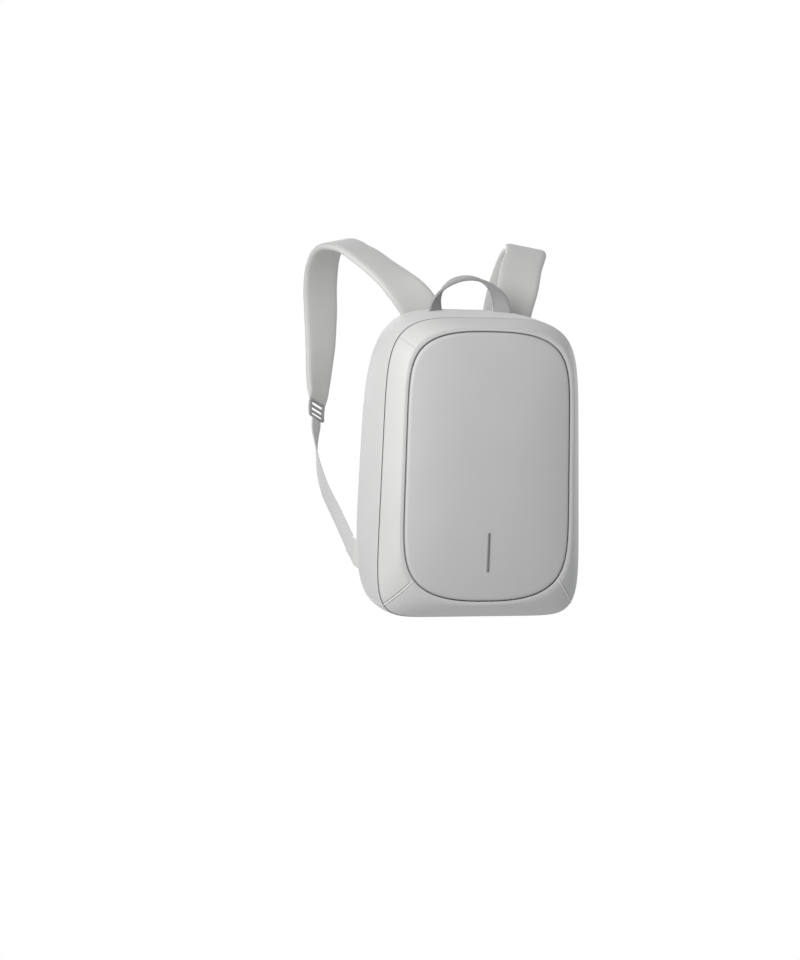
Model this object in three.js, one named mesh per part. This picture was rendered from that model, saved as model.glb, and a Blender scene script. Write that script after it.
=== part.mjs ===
import * as THREE from "three";

// An anti-theft backpack in the form that it has on a wearer's back.
// Millimetres, +Z up. The bag's front faces -Y, the wearer stands on its +Y side, and +X is the right side.
// The bag itself is laid out with its base at Z 0 and its front seam at Y 0, and is then moved as a whole.

// Gaps and walls
const GAP = 0.3;
const WALL = 4;
const BAND_WALL = 3;

// Bag
const BAG_WIDTH = 299;
const BAG_HEIGHT = 430;
const SIDE_DEPTH = 95;
const SIDE_BULGE = 1.4;
const BACK_FLARE = 5.7;
const BACK_RISE = 12.4;
const BACK_EDGE = 6.5;
const EDGE_RADIUS = 5;

// Frame round the front panel
const FRAME_DEPTH = 33;
const FRAME_SIDE = 26.7;
const FRAME_TOP = 20.3;
const FRAME_BOTTOM = 25.7;
const BINDING_WIDTH = 3.4;
const BINDING_PROUD = 0.9;

// Front panel, its groove, bead and bar
const GROOVE_WIDTH = 3.2;
const GROOVE_DEPTH = 5;
const BEAD_WIDTH = 3.6;
const BEAD_PROUD = 0.6;
const FLANGE = 1.5;
const FLANGE_THICKNESS = 2;
const PANEL_CROWN = 8.6;
const PANEL_EDGE = 1.4;
const PANEL_THICKNESS = 5;
const BAR_WIDTH = 3;
const BAR_LENGTH = 57;
const BAR_THICKNESS = 0.8;
const BAR_UP = 96;

// Closure and back panel
const ZIP_WIDTH = 5;
const ZIP_THICKNESS = 2.5;
const ZIP_INSET = 4.4;
const BACK_THICKNESS = 9.4;
const BACK_ROUND = 8;
const BACK_RIM = 4.8;
const SLIDER_UP = 150;
const SLIDER_LENGTH = 30;
const SLIDER_WIDTH = 4.4;
const SLIDER_HEAD = 6;
const PULL_THICKNESS = 1.8;

// Straps
const STRAP_WIDTH = 62;
const STRAP_THICKNESS = 11;
const STRAP_LEAN = 12;
const SHOULDER_OUT = 150;
const TORSO_DEPTH = 245;
const BUCKLE_WIDTH = 40;
const BUCKLE_LENGTH = 28;
const BUCKLE_THICKNESS = 6;
const BUCKLE_RADIUS = 6;
const WEBBING_WIDTH = 25;
const WEBBING_THICKNESS = 2.2;
const TAB_HEIGHT = 44;
const TAB_UP = 82;
const TAB_THICKNESS = 3.2;
const TAB_REACH = 20;
const TAB_LAP = 14;
const TAB_SLOPE = THREE.MathUtils.degToRad(30);
const WEBBING_LEAD = 12;

// Carry handle
const HANDLE_SPAN = 103;
const HANDLE_RISE = 50;
const HANDLE_WIDTH = 27;
const HANDLE_THICKNESS = 4.2;
const HANDLE_BACK = 71;
const HANDLE_TURN = THREE.MathUtils.degToRad(62);
const HANDLE_TIP = THREE.MathUtils.degToRad(10);

// Where the wearer's back meets the bag, level with the roots of the straps
const HANG_UP = 400;

// Fineness
const AROUND = 80;
const FINE = 720;
const BEND_WEIGHT = 60;

// Outlines seen from the front. A side exponent squares the sides and an end exponent the top and base,
// each given above and below the middle. Taper narrows the top by this share and widens the base.
const SEAM = {
  halfWidth: BAG_WIDTH / 2, bottom: 0, top: BAG_HEIGHT,
  sideAbove: 4.2, endAbove: 6.5, sideBelow: 8.9, endBelow: 7.6, taper: 0.041,
};
const GROOVE = {
  halfWidth: BAG_WIDTH / 2 - FRAME_SIDE, bottom: FRAME_BOTTOM, top: BAG_HEIGHT - FRAME_TOP,
  sideAbove: 2.73, endAbove: 7.4, sideBelow: 2.58, endBelow: 6.3, taper: 0.023,
};
const BACK = {
  halfWidth: BAG_WIDTH / 2 + BACK_FLARE, bottom: 0, top: BAG_HEIGHT + BACK_RISE,
  sideAbove: 4.3, endAbove: 3.87, sideBelow: 6.9, endBelow: 4, taper: 0.054,
};
const LOOP = { from: -90, to: 270 };

// Angles on the seam and on the groove between which each mitre of the frame runs, on the right side
const UPPER_MITRE = { seam: 38, groove: 31.5 };
const LOWER_MITRE = { seam: -46, groove: -34.8 };
const ZIP_END = -14;

const BACK_START = SIDE_DEPTH + GAP + ZIP_WIDTH + GAP;
const BACK_FACE = BACK_START + BACK_THICKNESS;
const RIM_OUT = GROOVE_WIDTH / 2 + BEAD_WIDTH + GAP;
const FLOOR = -FRAME_DEPTH + GROOVE_DEPTH;

const FABRIC = material(0xcfcfcb, 0.7);
const FRAME_FABRIC = material(0xc9cac6, 0.65);
const PANEL_FABRIC = material(0xb4b4b6, 0.6);
const STRAP_FABRIC = material(0xc6c7c5, 0.8);
const WEBBING = material(0xbfc0be, 0.85);
const DARK_WEBBING = material(0x6d6d70, 0.85);
const BAR_FINISH = material(0x6f7073, 0.35);
const MESH_FABRIC = material(0xa9aaab, 0.95);
const PLASTIC = material(0x8f9092, 0.5);

function material(color, roughness) {
  return new THREE.MeshStandardMaterial({ color, roughness, metalness: 0 });
}

// A point of an outline, pulled in by inset.
function outline(spec, degrees, inset = 0) {
  const angle = THREE.MathUtils.degToRad(degrees);
  const cos = Math.cos(angle);
  const sin = Math.sin(angle);
  const side = sin > 0 ? spec.sideAbove : spec.sideBelow;
  const end = sin > 0 ? spec.endAbove : spec.endBelow;
  const across = Math.sign(cos) * Math.abs(cos) ** (2 / side);
  const rise = Math.sign(sin) * Math.abs(sin) ** (2 / end);
  const middle = (spec.top + spec.bottom) / 2;
  const halfHeight = (spec.top - spec.bottom) / 2 - inset;
  const x = (spec.halfWidth - inset) * across * (1 - spec.taper * rise);
  return new THREE.Vector2(x, middle + halfHeight * rise);
}

// Points of an outline between two angles, shared out evenly over its length and its bends.
function trace(spec, span, count, inset = 0) {
  const closed = span.to - span.from === 360;
  const fine = [];
  for (let i = 0; i <= FINE; i++) {
    fine.push(outline(spec, THREE.MathUtils.lerp(span.from, span.to, i / FINE), inset));
  }
  const sums = [0];
  let heading = fine[1].clone().sub(fine[0]).angle();
  for (let i = 1; i <= FINE; i++) {
    const step = fine[i].clone().sub(fine[i - 1]);
    const swing = THREE.MathUtils.euclideanModulo(step.angle() - heading + Math.PI, 2 * Math.PI) - Math.PI;
    heading = step.angle();
    sums.push(sums[i - 1] + step.length() + BEND_WEIGHT * Math.abs(swing));
  }
  const points = [];
  let k = 1;
  for (let i = 0; i < count; i++) {
    const goal = (sums[FINE] * i) / (closed ? count : count - 1);
    while (k < FINE && sums[k] < goal) k++;
    const share = (goal - sums[k - 1]) / (sums[k] - sums[k - 1]);
    points.push(fine[k - 1].clone().lerp(fine[k], Math.min(1, share)));
  }
  return points;
}

// The angle at which an outline is this far further on from an angle.
function further(spec, degrees, distance) {
  const step = 0.5;
  const length = outline(spec, degrees + step).distanceTo(outline(spec, degrees - step));
  return degrees + (distance * 2 * step) / length;
}

// A closed body through sections of equal point counts, joined end to end or capped.
function skin(sections, joined = false) {
  const around = sections[0].length;
  const points = sections.flat();
  const faces = [];
  const last = joined ? sections.length : sections.length - 1;
  for (let i = 0; i < last; i++) {
    const here = i * around;
    const next = ((i + 1) % sections.length) * around;
    for (let j = 0; j < around; j++) {
      const k = (j + 1) % around;
      faces.push([here + j, here + k, next + k], [here + j, next + k, next + j]);
    }
  }
  if (!joined) {
    const end = (sections.length - 1) * around;
    faces.push(...cap(sections[0]).map(([a, b, c]) => [a, c, b]));
    faces.push(...cap(sections.at(-1)).map((face) => face.map((j) => end + j)));
  }
  const volume = faces.reduce((sum, [a, b, c]) => sum + points[a].dot(points[b].clone().cross(points[c])), 0);
  const index = faces.map((face) => (volume < 0 ? face.slice().reverse() : face));
  const geometry = new THREE.BufferGeometry().setFromPoints(points);
  geometry.setIndex(index.flat());
  geometry.computeVertexNormals();
  return geometry;
}

// Triangles that close one section, turned the way its points run.
function cap(section) {
  const middle = section.reduce((sum, p) => sum.add(p), new THREE.Vector3()).divideScalar(section.length);
  const normal = new THREE.Vector3();
  section.forEach((p, j) => {
    const q = section[(j + 1) % section.length];
    normal.add(p.clone().sub(middle).cross(q.clone().sub(middle)));
  });
  normal.normalize();
  const along = section[0].clone().sub(middle);
  along.addScaledVector(normal, -along.dot(normal)).normalize();
  const across = normal.clone().cross(along);
  const flat = section.map((p) => {
    const arm = p.clone().sub(middle);
    return new THREE.Vector2(arm.dot(along), arm.dot(across));
  });
  return THREE.ShapeUtils.triangulateShape(flat, []).map(([a, b, c]) => {
    const area = THREE.ShapeUtils.area([flat[a], flat[b], flat[c]]);
    return area > 0 ? [a, b, c] : [a, c, b];
  });
}

function mesh(name, geometry, finish) {
  const piece = new THREE.Mesh(geometry, finish);
  piece.name = name;
  return piece;
}

// The same body on the other side of the bag.
function mirrored(geometry) {
  const other = geometry.clone().applyMatrix4(new THREE.Matrix4().makeScale(-1, 1, 1));
  const index = Array.from(other.index.array);
  for (let i = 0; i < index.length; i += 3) [index[i], index[i + 2]] = [index[i + 2], index[i]];
  other.setIndex(index);
  other.computeVertexNormals();
  return other;
}

// One point between two traced outlines, at a depth behind the front seam.
function between(first, second, share, y) {
  const p = first.clone().lerp(second, share);
  return new THREE.Vector3(p.x, y, p.y);
}

// Cross-section of the frame: how far across from seam to rim, how much of its depth it has risen there,
// and how far it is inside the face.
const FRAME_SECTION = [
  { across: 0, rise: 0, inside: 0 },
  { across: 0.05, rise: 0.12, inside: 0 },
  { across: 0.28, rise: 0.4, inside: 0 },
  { across: 0.6, rise: 0.73, inside: 0 },
  { across: 0.9, rise: 0.96, inside: 0 },
  { across: 1, rise: 1, inside: 0 },
  { across: 1, rise: 1, inside: 1, lip: true },
  { across: 0.88, rise: 1, inside: 1, lip: true },
  { across: 0.6, rise: 0.73, inside: 1 },
  { across: 0.22, rise: 0.32, inside: 1 },
  { across: 0, rise: 0, inside: 1.2, foot: true },
];

// A stretch of the frame between two mitres, each given by its angles on the seam and on the groove.
function framePiece(from, to, count, proud = 0) {
  const columns = FRAME_SECTION.map(({ across, rise, inside, lip, foot }) => {
    const inset = (lip ? 0 : inside * WALL * 0.75) - (inside ? 0 : proud);
    const seam = trace(SEAM, { from: from.seam, to: to.seam }, count, inset);
    const groove = trace(GROOVE, { from: from.groove, to: to.groove }, count, inset - RIM_OUT);
    const sunk = lip ? WALL : foot ? 0 : inside * WALL * 0.6;
    const y = -GAP / 2 - (FRAME_DEPTH - GAP / 2) * rise + sunk;
    return seam.map((p, i) => between(p, groove[i], across, inside || !rise ? y : y - proud));
  });
  return skin(columns[0].map((_, i) => columns.map((column) => column[i])));
}

function mitre({ seam, groove }, distance) {
  return { seam: further(SEAM, seam, distance), groove: further(GROOVE, groove, distance) };
}

function across({ seam, groove }) {
  return { seam: 180 - seam, groove: 180 - groove };
}

function addFrame(bag) {
  const bound = BINDING_WIDTH / 2 + GAP;
  const upper = { after: mitre(UPPER_MITRE, GAP / 2), before: mitre(UPPER_MITRE, -GAP / 2) };
  const lower = { after: mitre(LOWER_MITRE, bound), before: mitre(LOWER_MITRE, -bound) };
  const right = framePiece(lower.after, upper.before, 22);
  const binding = framePiece(mitre(LOWER_MITRE, -BINDING_WIDTH / 2), mitre(LOWER_MITRE, BINDING_WIDTH / 2), 3,
    BINDING_PROUD);
  const turned = across(lower.before);
  bag.add(mesh("frame_right", right, FRAME_FABRIC));
  bag.add(mesh("frame_left", mirrored(right), FRAME_FABRIC));
  bag.add(mesh("frame_top", framePiece(upper.after, across(upper.after), 26), FRAME_FABRIC));
  bag.add(mesh("frame_bottom", framePiece({ seam: turned.seam - 360, groove: turned.groove - 360 },
    lower.before, 24), FRAME_FABRIC));
  bag.add(mesh("corner_binding_right", binding, FRAME_FABRIC));
  bag.add(mesh("corner_binding_left", mirrored(binding), FRAME_FABRIC));
}

// Depth of the front panel's face, by the share of the way from its middle to its edge.
function panelFace(share) {
  return -FRAME_DEPTH - PANEL_EDGE - PANEL_CROWN * (1 - share ** 3.2);
}

// A ring of the front panel: its outline pulled in by inset and then shrunk about its middle.
function panelRing(inset, share, y) {
  const middle = (GROOVE.top + GROOVE.bottom) / 2;
  return trace(GROOVE, LOOP, AROUND, inset).map(
    (p) => new THREE.Vector3(p.x * share, y, middle + (p.y - middle) * share),
  );
}

function addFrontPanel(bag) {
  const edge = GROOVE_WIDTH / 2;
  const face = [0.3, 0.6, 0.8, 0.93].map((share) => panelRing(edge, share, panelFace(share)));
  const under = FLOOR + FLANGE_THICKNESS;
  const inner = [0.9, 0.6, 0.3].map((share) => panelRing(edge, share, panelFace(share) + PANEL_THICKNESS));
  const panel = skin([
    ...face,
    panelRing(edge + 1.2, 1, panelFace(0.97)),
    panelRing(edge, 1, panelFace(1) + PANEL_EDGE),
    panelRing(edge, 1, FLOOR),
    panelRing(-RIM_OUT - FLANGE, 1, FLOOR),
    panelRing(-RIM_OUT - FLANGE, 1, under),
    panelRing(edge + PANEL_THICKNESS, 1, under),
    ...inner,
  ]);
  bag.add(mesh("front_panel", panel, PANEL_FABRIC));
  bag.add(mesh("light_bar", lightBar(), BAR_FINISH));
}

// The bar follows the panel's face from top to base.
function lightBar() {
  const steps = 6;
  const half = (GROOVE.top - GROOVE.bottom) / 2 - GROOVE_WIDTH / 2;
  const middle = (GROOVE.top + GROOVE.bottom) / 2;
  const sections = [];
  for (let i = 0; i <= steps; i++) {
    const z = BAR_UP + BAR_LENGTH * (i / steps - 0.5);
    const back = panelFace(Math.abs(z - middle) / half) - GAP;
    const corners = [[-1, 0], [1, 0], [1, 1], [-1, 1]];
    sections.push(corners.map(([s, t]) => new THREE.Vector3((s * BAR_WIDTH) / 2, back - t * BAR_THICKNESS, z)));
  }
  return skin(sections);
}

function addBead(bag) {
  const sides = 6;
  const out = GROOVE_WIDTH / 2 + BEAD_WIDTH / 2;
  const foot = FLOOR - GAP;
  const crest = -FRAME_DEPTH - BEAD_PROUD;
  const rings = [];
  for (let k = 0; k < sides; k++) {
    const angle = (2 * Math.PI * k) / sides;
    const inset = -out + (BEAD_WIDTH / 2) * Math.sin(angle);
    const y = (foot + crest) / 2 + ((foot - crest) / 2) * Math.cos(angle);
    rings.push(trace(GROOVE, LOOP, AROUND, inset).map((p) => new THREE.Vector3(p.x, y, p.y)));
  }
  bag.add(mesh("panel_piping", skin(rings, true), FRAME_FABRIC));
}

// Cross-section of the side band: the share of the way from front seam to back edge, how far back it is,
// and how far in from the outline. It bulges a little, and its back edge is rolled and hemmed.
function sideBandSection() {
  const bulge = [0.2, 0.45, 0.7].map((share) => ({
    share, y: share * SIDE_DEPTH, inset: -SIDE_BULGE * Math.sin(Math.PI * share),
  }));
  return [
    { share: 0, y: GAP / 2, inset: 0 },
    ...bulge,
    { share: 1, y: SIDE_DEPTH - EDGE_RADIUS, inset: 0 },
    { share: 1, y: SIDE_DEPTH - EDGE_RADIUS * 0.25, inset: EDGE_RADIUS * 0.16 },
    { share: 1, y: SIDE_DEPTH, inset: EDGE_RADIUS * 0.5 },
    { share: 1, y: SIDE_DEPTH, inset: BACK_EDGE },
    { share: 1, y: SIDE_DEPTH - EDGE_RADIUS, inset: BACK_EDGE },
    { share: 0.85, y: SIDE_DEPTH * 0.85, inset: BAND_WALL },
    { share: 0.45, y: SIDE_DEPTH * 0.45, inset: BAND_WALL - SIDE_BULGE },
    { share: 0, y: GAP / 2, inset: BAND_WALL },
  ];
}

function addSideBand(bag) {
  const rings = sideBandSection().map(({ share, y, inset }) => {
    const seam = trace(SEAM, LOOP, AROUND, inset);
    const back = trace(BACK, LOOP, AROUND, inset);
    return seam.map((p, i) => between(p, back[i], share, y));
  });
  bag.add(mesh("side_band", skin(rings, true), FABRIC));
}

// A strip of the closure's ring, between two angles on the back edge.
function closureStrip(from, to, count) {
  const columns = [[0, 0], [1, 0], [1, 1], [0, 1]].map(([deep, behind]) =>
    trace(BACK, { from, to }, count, ZIP_INSET + deep * ZIP_THICKNESS).map(
      (p) => new THREE.Vector3(p.x, SIDE_DEPTH + GAP + behind * ZIP_WIDTH, p.y),
    ),
  );
  return skin(columns[0].map((_, i) => columns.map((column) => column[i])));
}

function addClosure(bag) {
  const zipFrom = further(BACK, ZIP_END, GAP / 2);
  const stripTo = further(BACK, ZIP_END, -GAP / 2);
  bag.add(mesh("main_zip", closureStrip(zipFrom, 180 - zipFrom, 50), PLASTIC));
  bag.add(mesh("hinge_strip", closureStrip(-180 - stripTo, stripTo, 36), FABRIC));
  bag.add(zipSlider());
}

// The back edge's half width at a height.
function backHalfWidth(z, inset) {
  const half = trace(BACK, { from: -90, to: 90 }, FINE, inset);
  const k = half.findIndex((p) => p.y > z);
  const share = (z - half[k - 1].y) / (half[k].y - half[k - 1].y);
  return THREE.MathUtils.lerp(half[k - 1].x, half[k].x, share);
}

// The slider and its pull are one plain piece: a head on the zip and a flat tongue that hangs from it.
function zipSlider() {
  const head = SLIDER_LENGTH * 0.3;
  const profile = new THREE.Shape();
  profile.moveTo(0, 0);
  profile.lineTo(0, head);
  profile.lineTo(SLIDER_HEAD, head);
  profile.lineTo(SLIDER_HEAD, head - SLIDER_LENGTH);
  profile.lineTo(SLIDER_HEAD - PULL_THICKNESS, head - SLIDER_LENGTH);
  profile.lineTo(SLIDER_HEAD - PULL_THICKNESS, 0);
  const geometry = new THREE.ExtrudeGeometry(profile, { depth: SLIDER_WIDTH, bevelEnabled: false });
  geometry.deleteAttribute("normal");
  geometry.deleteAttribute("uv");
  const slider = mesh("zip_slider", geometry, PLASTIC);
  const lean = Math.atan2(backHalfWidth(SLIDER_UP, 0) - backHalfWidth(SLIDER_UP + 1, 0), 1);
  slider.position.set(
    backHalfWidth(SLIDER_UP, ZIP_INSET) + GAP,
    SIDE_DEPTH + GAP + (ZIP_WIDTH + SLIDER_WIDTH) / 2,
    SLIDER_UP,
  );
  slider.rotation.set(Math.PI / 2, lean, 0, "YXZ");
  return slider;
}

function addBackPanel(bag) {
  const ring = (inset, y) => trace(BACK, LOOP, AROUND, inset).map((p) => new THREE.Vector3(p.x, y, p.y));
  const panel = skin([
    ring(BACK.halfWidth * 0.6, BACK_START),
    ring(BACK_RIM + 1, BACK_START),
    ring(BACK_RIM + 0.4, BACK_START + BACK_THICKNESS * 0.15),
    ring(BACK_RIM, BACK_START + BACK_THICKNESS * 0.45),
    ring(BACK_RIM + BACK_ROUND * 0.3, BACK_START + BACK_THICKNESS * 0.85),
    ring(BACK_RIM + BACK_ROUND, BACK_FACE),
    ring(BACK.halfWidth * 0.6, BACK_FACE),
  ]);
  bag.add(mesh("back_panel", panel, MESH_FABRIC));
}

// Height of the bag's top between front seam and back edge.
function topOfBand(x, y) {
  const share = y / SIDE_DEPTH;
  const height = (spec) => {
    const half = trace(spec, { from: 90, to: 20 }, FINE, -SIDE_BULGE * Math.sin(Math.PI * share));
    const k = half.findIndex((p) => p.x > Math.abs(x));
    return half[k].y;
  };
  return THREE.MathUtils.lerp(height(SEAM), height(BACK), share);
}

// The handle stands on the bag's top in one low arch. Its width runs from front to back over the crown and
// turns outward towards its feet, which are sewn down nearly facing the front.
function addHandle(bag) {
  const steps = 28;
  const foot = topOfBand(HANDLE_SPAN / 2, HANDLE_BACK) + GAP;
  const crown = topOfBand(0, HANDLE_BACK) + HANDLE_RISE - HANDLE_THICKNESS / 2;
  const sections = [];
  for (let i = 0; i <= steps; i++) {
    const angle = Math.PI * (1 - i / steps);
    const cos = Math.cos(angle);
    const sin = Math.sin(angle);
    const middle = new THREE.Vector3((cos * HANDLE_SPAN) / 2, HANDLE_BACK, THREE.MathUtils.lerp(foot, crown, sin));
    const heading = new THREE.Vector3((sin * HANDLE_SPAN) / 2, 0, -cos * (crown - foot)).normalize();
    const turn = Math.sign(cos) * HANDLE_TURN * (1 - sin);
    const front = new THREE.Vector3(Math.sin(turn), -Math.cos(turn), -Math.sin(HANDLE_TIP) * sin);
    front.addScaledVector(heading, -front.dot(heading)).normalize();
    const outer = front.clone().cross(heading);
    sections.push([[-1, 1], [1, 1], [1, -1], [-1, -1]].map(([s, t]) => {
      const p = middle.clone().addScaledVector(front, (s * HANDLE_WIDTH) / 2)
        .addScaledVector(outer, (t * HANDLE_THICKNESS) / 2);
      p.z += (topOfBand(p.x, p.y) + GAP - foot) * (1 - sin);
      return p;
    }));
  }
  bag.add(mesh("carry_handle", skin(sections), DARK_WEBBING));
}

// Route of the right shoulder strap, from its root on the back panel over the shoulder and down the chest.
// out is a share of SHOULDER_OUT, behind of TORSO_DEPTH, up of BAG_HEIGHT, and wide of STRAP_WIDTH. lean is a
// share of STRAP_LEAN, by which both straps lean to the right near their roots.
const STRAP_ROUTE = [
  { out: 0.44, behind: 0, up: 0.902, tilt: 0, wide: 0.96, lean: 1 },
  { out: 0.447, behind: 0, up: 0.96, tilt: 0, wide: 0.98, lean: 1 },
  { out: 0.487, behind: 0.006, up: 1.033, tilt: 0, wide: 1, lean: 0.92 },
  { out: 0.613, behind: 0.062, up: 1.11, tilt: 3, wide: 1, lean: 0.42 },
  { out: 0.76, behind: 0.2, up: 1.179, tilt: 6, wide: 1 },
  { out: 0.913, behind: 0.38, up: 1.234, tilt: 3, wide: 1 },
  { out: 1.013, behind: 0.593, up: 1.251, tilt: -14, wide: 1 },
  { out: 1.04, behind: 0.776, up: 1.204, tilt: -22, wide: 0.99 },
  { out: 1.015, behind: 0.902, up: 1.112, tilt: -18, wide: 0.97 },
  { out: 0.98, behind: 0.956, up: 1.004, tilt: -15, wide: 0.93 },
  { out: 0.973, behind: 0.964, up: 0.893, tilt: -18, wide: 0.87 },
  { out: 1, behind: 0.935, up: 0.786, tilt: -28, wide: 0.8 },
  { out: 1.04, behind: 0.866, up: 0.693, tilt: -42, wide: 0.7 },
];

// The strap's padded section: shares of its half width and half thickness.
const STRAP_SECTION = [
  [1, -0.4], [1, 0.4], [0.9, 1], [-0.9, 1], [-1, 0.4], [-1, -0.4], [-0.9, -1], [0.9, -1],
];

// A column of a route's rows at a share of the way along.
function along(rows, column, share) {
  const place = share * (rows.length - 1);
  const k = Math.min(rows.length - 2, Math.floor(place));
  return THREE.MathUtils.lerp(rows[k][column], rows[k + 1][column], place - k);
}

// Directions across and out of a strap's face, for the way that it runs.
function strapFrame(heading, tilt) {
  const side = new THREE.Vector3(1, 0, 0).addScaledVector(heading, -heading.x).normalize();
  side.applyAxisAngle(heading, THREE.MathUtils.degToRad(-tilt));
  return { side, face: side.clone().cross(heading) };
}

// The lean's side is 1 for the right strap, and -1 for the left one, which is made on the right and mirrored.
function strapCurve(leanSide = 1) {
  const seat = BACK_FACE + GAP + STRAP_THICKNESS / 2;
  return new THREE.CatmullRomCurve3(STRAP_ROUTE.map(({ out, behind, up, lean = 0 }) =>
    new THREE.Vector3(out * SHOULDER_OUT + leanSide * lean * STRAP_LEAN, seat + behind * TORSO_DEPTH,
      up * BAG_HEIGHT),
  ));
}

function shoulderStrap(leanSide) {
  const steps = 30;
  const curve = strapCurve(leanSide);
  const sections = [];
  for (let i = 0; i <= steps; i++) {
    const share = i / steps;
    const centre = curve.getPoint(share);
    const { side, face } = strapFrame(curve.getTangent(share), along(STRAP_ROUTE, "tilt", share));
    const wide = (along(STRAP_ROUTE, "wide", share) * STRAP_WIDTH) / 2;
    sections.push(STRAP_SECTION.map(([s, t]) => centre.clone().addScaledVector(side, s * wide)
      .addScaledVector(face, (t * STRAP_THICKNESS) / 2)));
  }
  return skin(sections);
}

// Place and directions at a distance past the padded strap's end.
function pastStrap(distance) {
  const curve = strapCurve();
  const heading = curve.getTangent(1);
  const { side, face } = strapFrame(heading, STRAP_ROUTE.at(-1).tilt);
  return { place: curve.getPoint(1).addScaledVector(heading, distance), heading, side, face };
}

function strapBuckle() {
  const w = BUCKLE_WIDTH / 2;
  const h = BUCKLE_LENGTH / 2;
  const r = BUCKLE_RADIUS;
  const shape = new THREE.Shape();
  shape.moveTo(-w + r, -h);
  shape.lineTo(w - r, -h);
  shape.absarc(w - r, -h + r, r, -Math.PI / 2, 0);
  shape.lineTo(w, h - r);
  shape.absarc(w - r, h - r, r, 0, Math.PI / 2);
  shape.lineTo(-w + r, h);
  shape.absarc(-w + r, h - r, r, Math.PI / 2, Math.PI);
  shape.lineTo(-w, -h + r);
  shape.absarc(-w + r, -h + r, r, Math.PI, 1.5 * Math.PI);
  const geometry = new THREE.ExtrudeGeometry(shape, {
    depth: BUCKLE_THICKNESS, bevelEnabled: false, curveSegments: 4,
  });
  geometry.deleteAttribute("normal");
  geometry.deleteAttribute("uv");
  geometry.translate(0, 0, -BUCKLE_THICKNESS / 2);
  const { place, heading, side, face } = pastStrap(GAP + BUCKLE_LENGTH / 2);
  const turn = new THREE.Matrix4().makeBasis(side, heading, face).setPosition(place);
  return indexed(geometry.applyMatrix4(turn));
}

// An extruded shape's triangles with an index, so that it can be mirrored.
function indexed(geometry) {
  const count = geometry.getAttribute("position").count;
  geometry.setIndex(Array.from({ length: count }, (_, i) => i));
  geometry.computeVertexNormals();
  return geometry;
}

// Route of the lower webbing from the wing tab forward under the arm. out is a share of the bag's half
// width, behind of TORSO_DEPTH, up of BAG_HEIGHT, and turn swings its face from the side to the chest.
const WEBBING_ROUTE = [
  { out: 1.084, behind: 0.327, up: 0.321, turn: 2 },
  { out: 1.104, behind: 0.543, up: 0.395, turn: 6 },
  { out: 1.104, behind: 0.714, up: 0.479, turn: 16 },
  { out: 1.09, behind: 0.808, up: 0.565, turn: 32 },
];

function lowerWebbing() {
  const start = tabEnd();
  const end = pastStrap(BUCKLE_LENGTH + 2 * GAP);
  const heading = new THREE.Vector3(0, Math.cos(TAB_SLOPE), Math.sin(TAB_SLOPE));
  const middle = WEBBING_ROUTE.map(({ out, behind, up }) =>
    new THREE.Vector3((out * BAG_WIDTH) / 2, BACK_FACE + behind * TORSO_DEPTH, up * BAG_HEIGHT),
  );
  const curve = new THREE.CatmullRomCurve3([
    start, start.clone().addScaledVector(heading, WEBBING_LEAD), ...middle,
    end.place.clone().addScaledVector(end.heading, WEBBING_LEAD), end.place,
  ]);
  const chest = 90 + STRAP_ROUTE.at(-1).tilt;
  const turns = [0, 0, ...WEBBING_ROUTE.map((row) => row.turn), chest, chest].map((turn) => ({ turn }));
  const steps = 28;
  const sections = [];
  for (let i = 0; i <= steps; i++) {
    const share = i / steps;
    const tangent = curve.getTangent(share);
    const turn = THREE.MathUtils.degToRad(along(turns, "turn", share));
    const face = new THREE.Vector3(Math.cos(turn), Math.sin(turn), 0);
    face.addScaledVector(tangent, -face.dot(tangent)).normalize();
    const side = tangent.clone().cross(face);
    const centre = curve.getPoint(share);
    sections.push([[1, 1], [-1, 1], [-1, -1], [1, -1]].map(([s, t]) => centre.clone()
      .addScaledVector(side, (s * WEBBING_WIDTH) / 2)
      .addScaledVector(face, (t * WEBBING_THICKNESS) / 2)));
  }
  return skin(sections);
}

// The tab's inner face lies on the side band's back edge.
function tabFace() {
  const low = backHalfWidth(TAB_UP - TAB_HEIGHT / 2, 0);
  const high = backHalfWidth(TAB_UP + TAB_HEIGHT / 2, 0);
  return Math.max(low, high) + GAP;
}

// Where the webbing leaves the tab.
function tabEnd() {
  return new THREE.Vector3(tabFace() + TAB_THICKNESS / 2,
    BACK_START + (TAB_REACH + GAP) * Math.cos(TAB_SLOPE),
    TAB_UP + TAB_HEIGHT / 4 + (TAB_REACH + GAP) * Math.sin(TAB_SLOPE) - WEBBING_WIDTH / 4);
}

// A short tab that laps over the side band's back edge and narrows to the webbing.
function wingTab() {
  const end = tabEnd();
  const dy = Math.cos(TAB_SLOPE);
  const dz = Math.sin(TAB_SLOPE);
  const corner = (sign) => [
    end.y - GAP * dy - (sign * WEBBING_WIDTH * dz) / 2,
    end.z - GAP * dz + (sign * WEBBING_WIDTH * dy) / 2,
  ];
  const shape = new THREE.Shape();
  shape.moveTo(SIDE_DEPTH - TAB_LAP, TAB_UP - TAB_HEIGHT / 2);
  shape.lineTo(...corner(-1));
  shape.lineTo(...corner(1));
  shape.lineTo(SIDE_DEPTH - TAB_LAP, TAB_UP + TAB_HEIGHT / 2);
  const geometry = new THREE.ExtrudeGeometry(shape, { depth: TAB_THICKNESS, bevelEnabled: false });
  geometry.deleteAttribute("normal");
  geometry.deleteAttribute("uv");
  const basis = new THREE.Matrix4().makeBasis(
    new THREE.Vector3(0, 1, 0), new THREE.Vector3(0, 0, 1), new THREE.Vector3(1, 0, 0),
  );
  geometry.applyMatrix4(basis.setPosition(tabFace(), 0, 0));
  return indexed(geometry);
}

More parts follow.
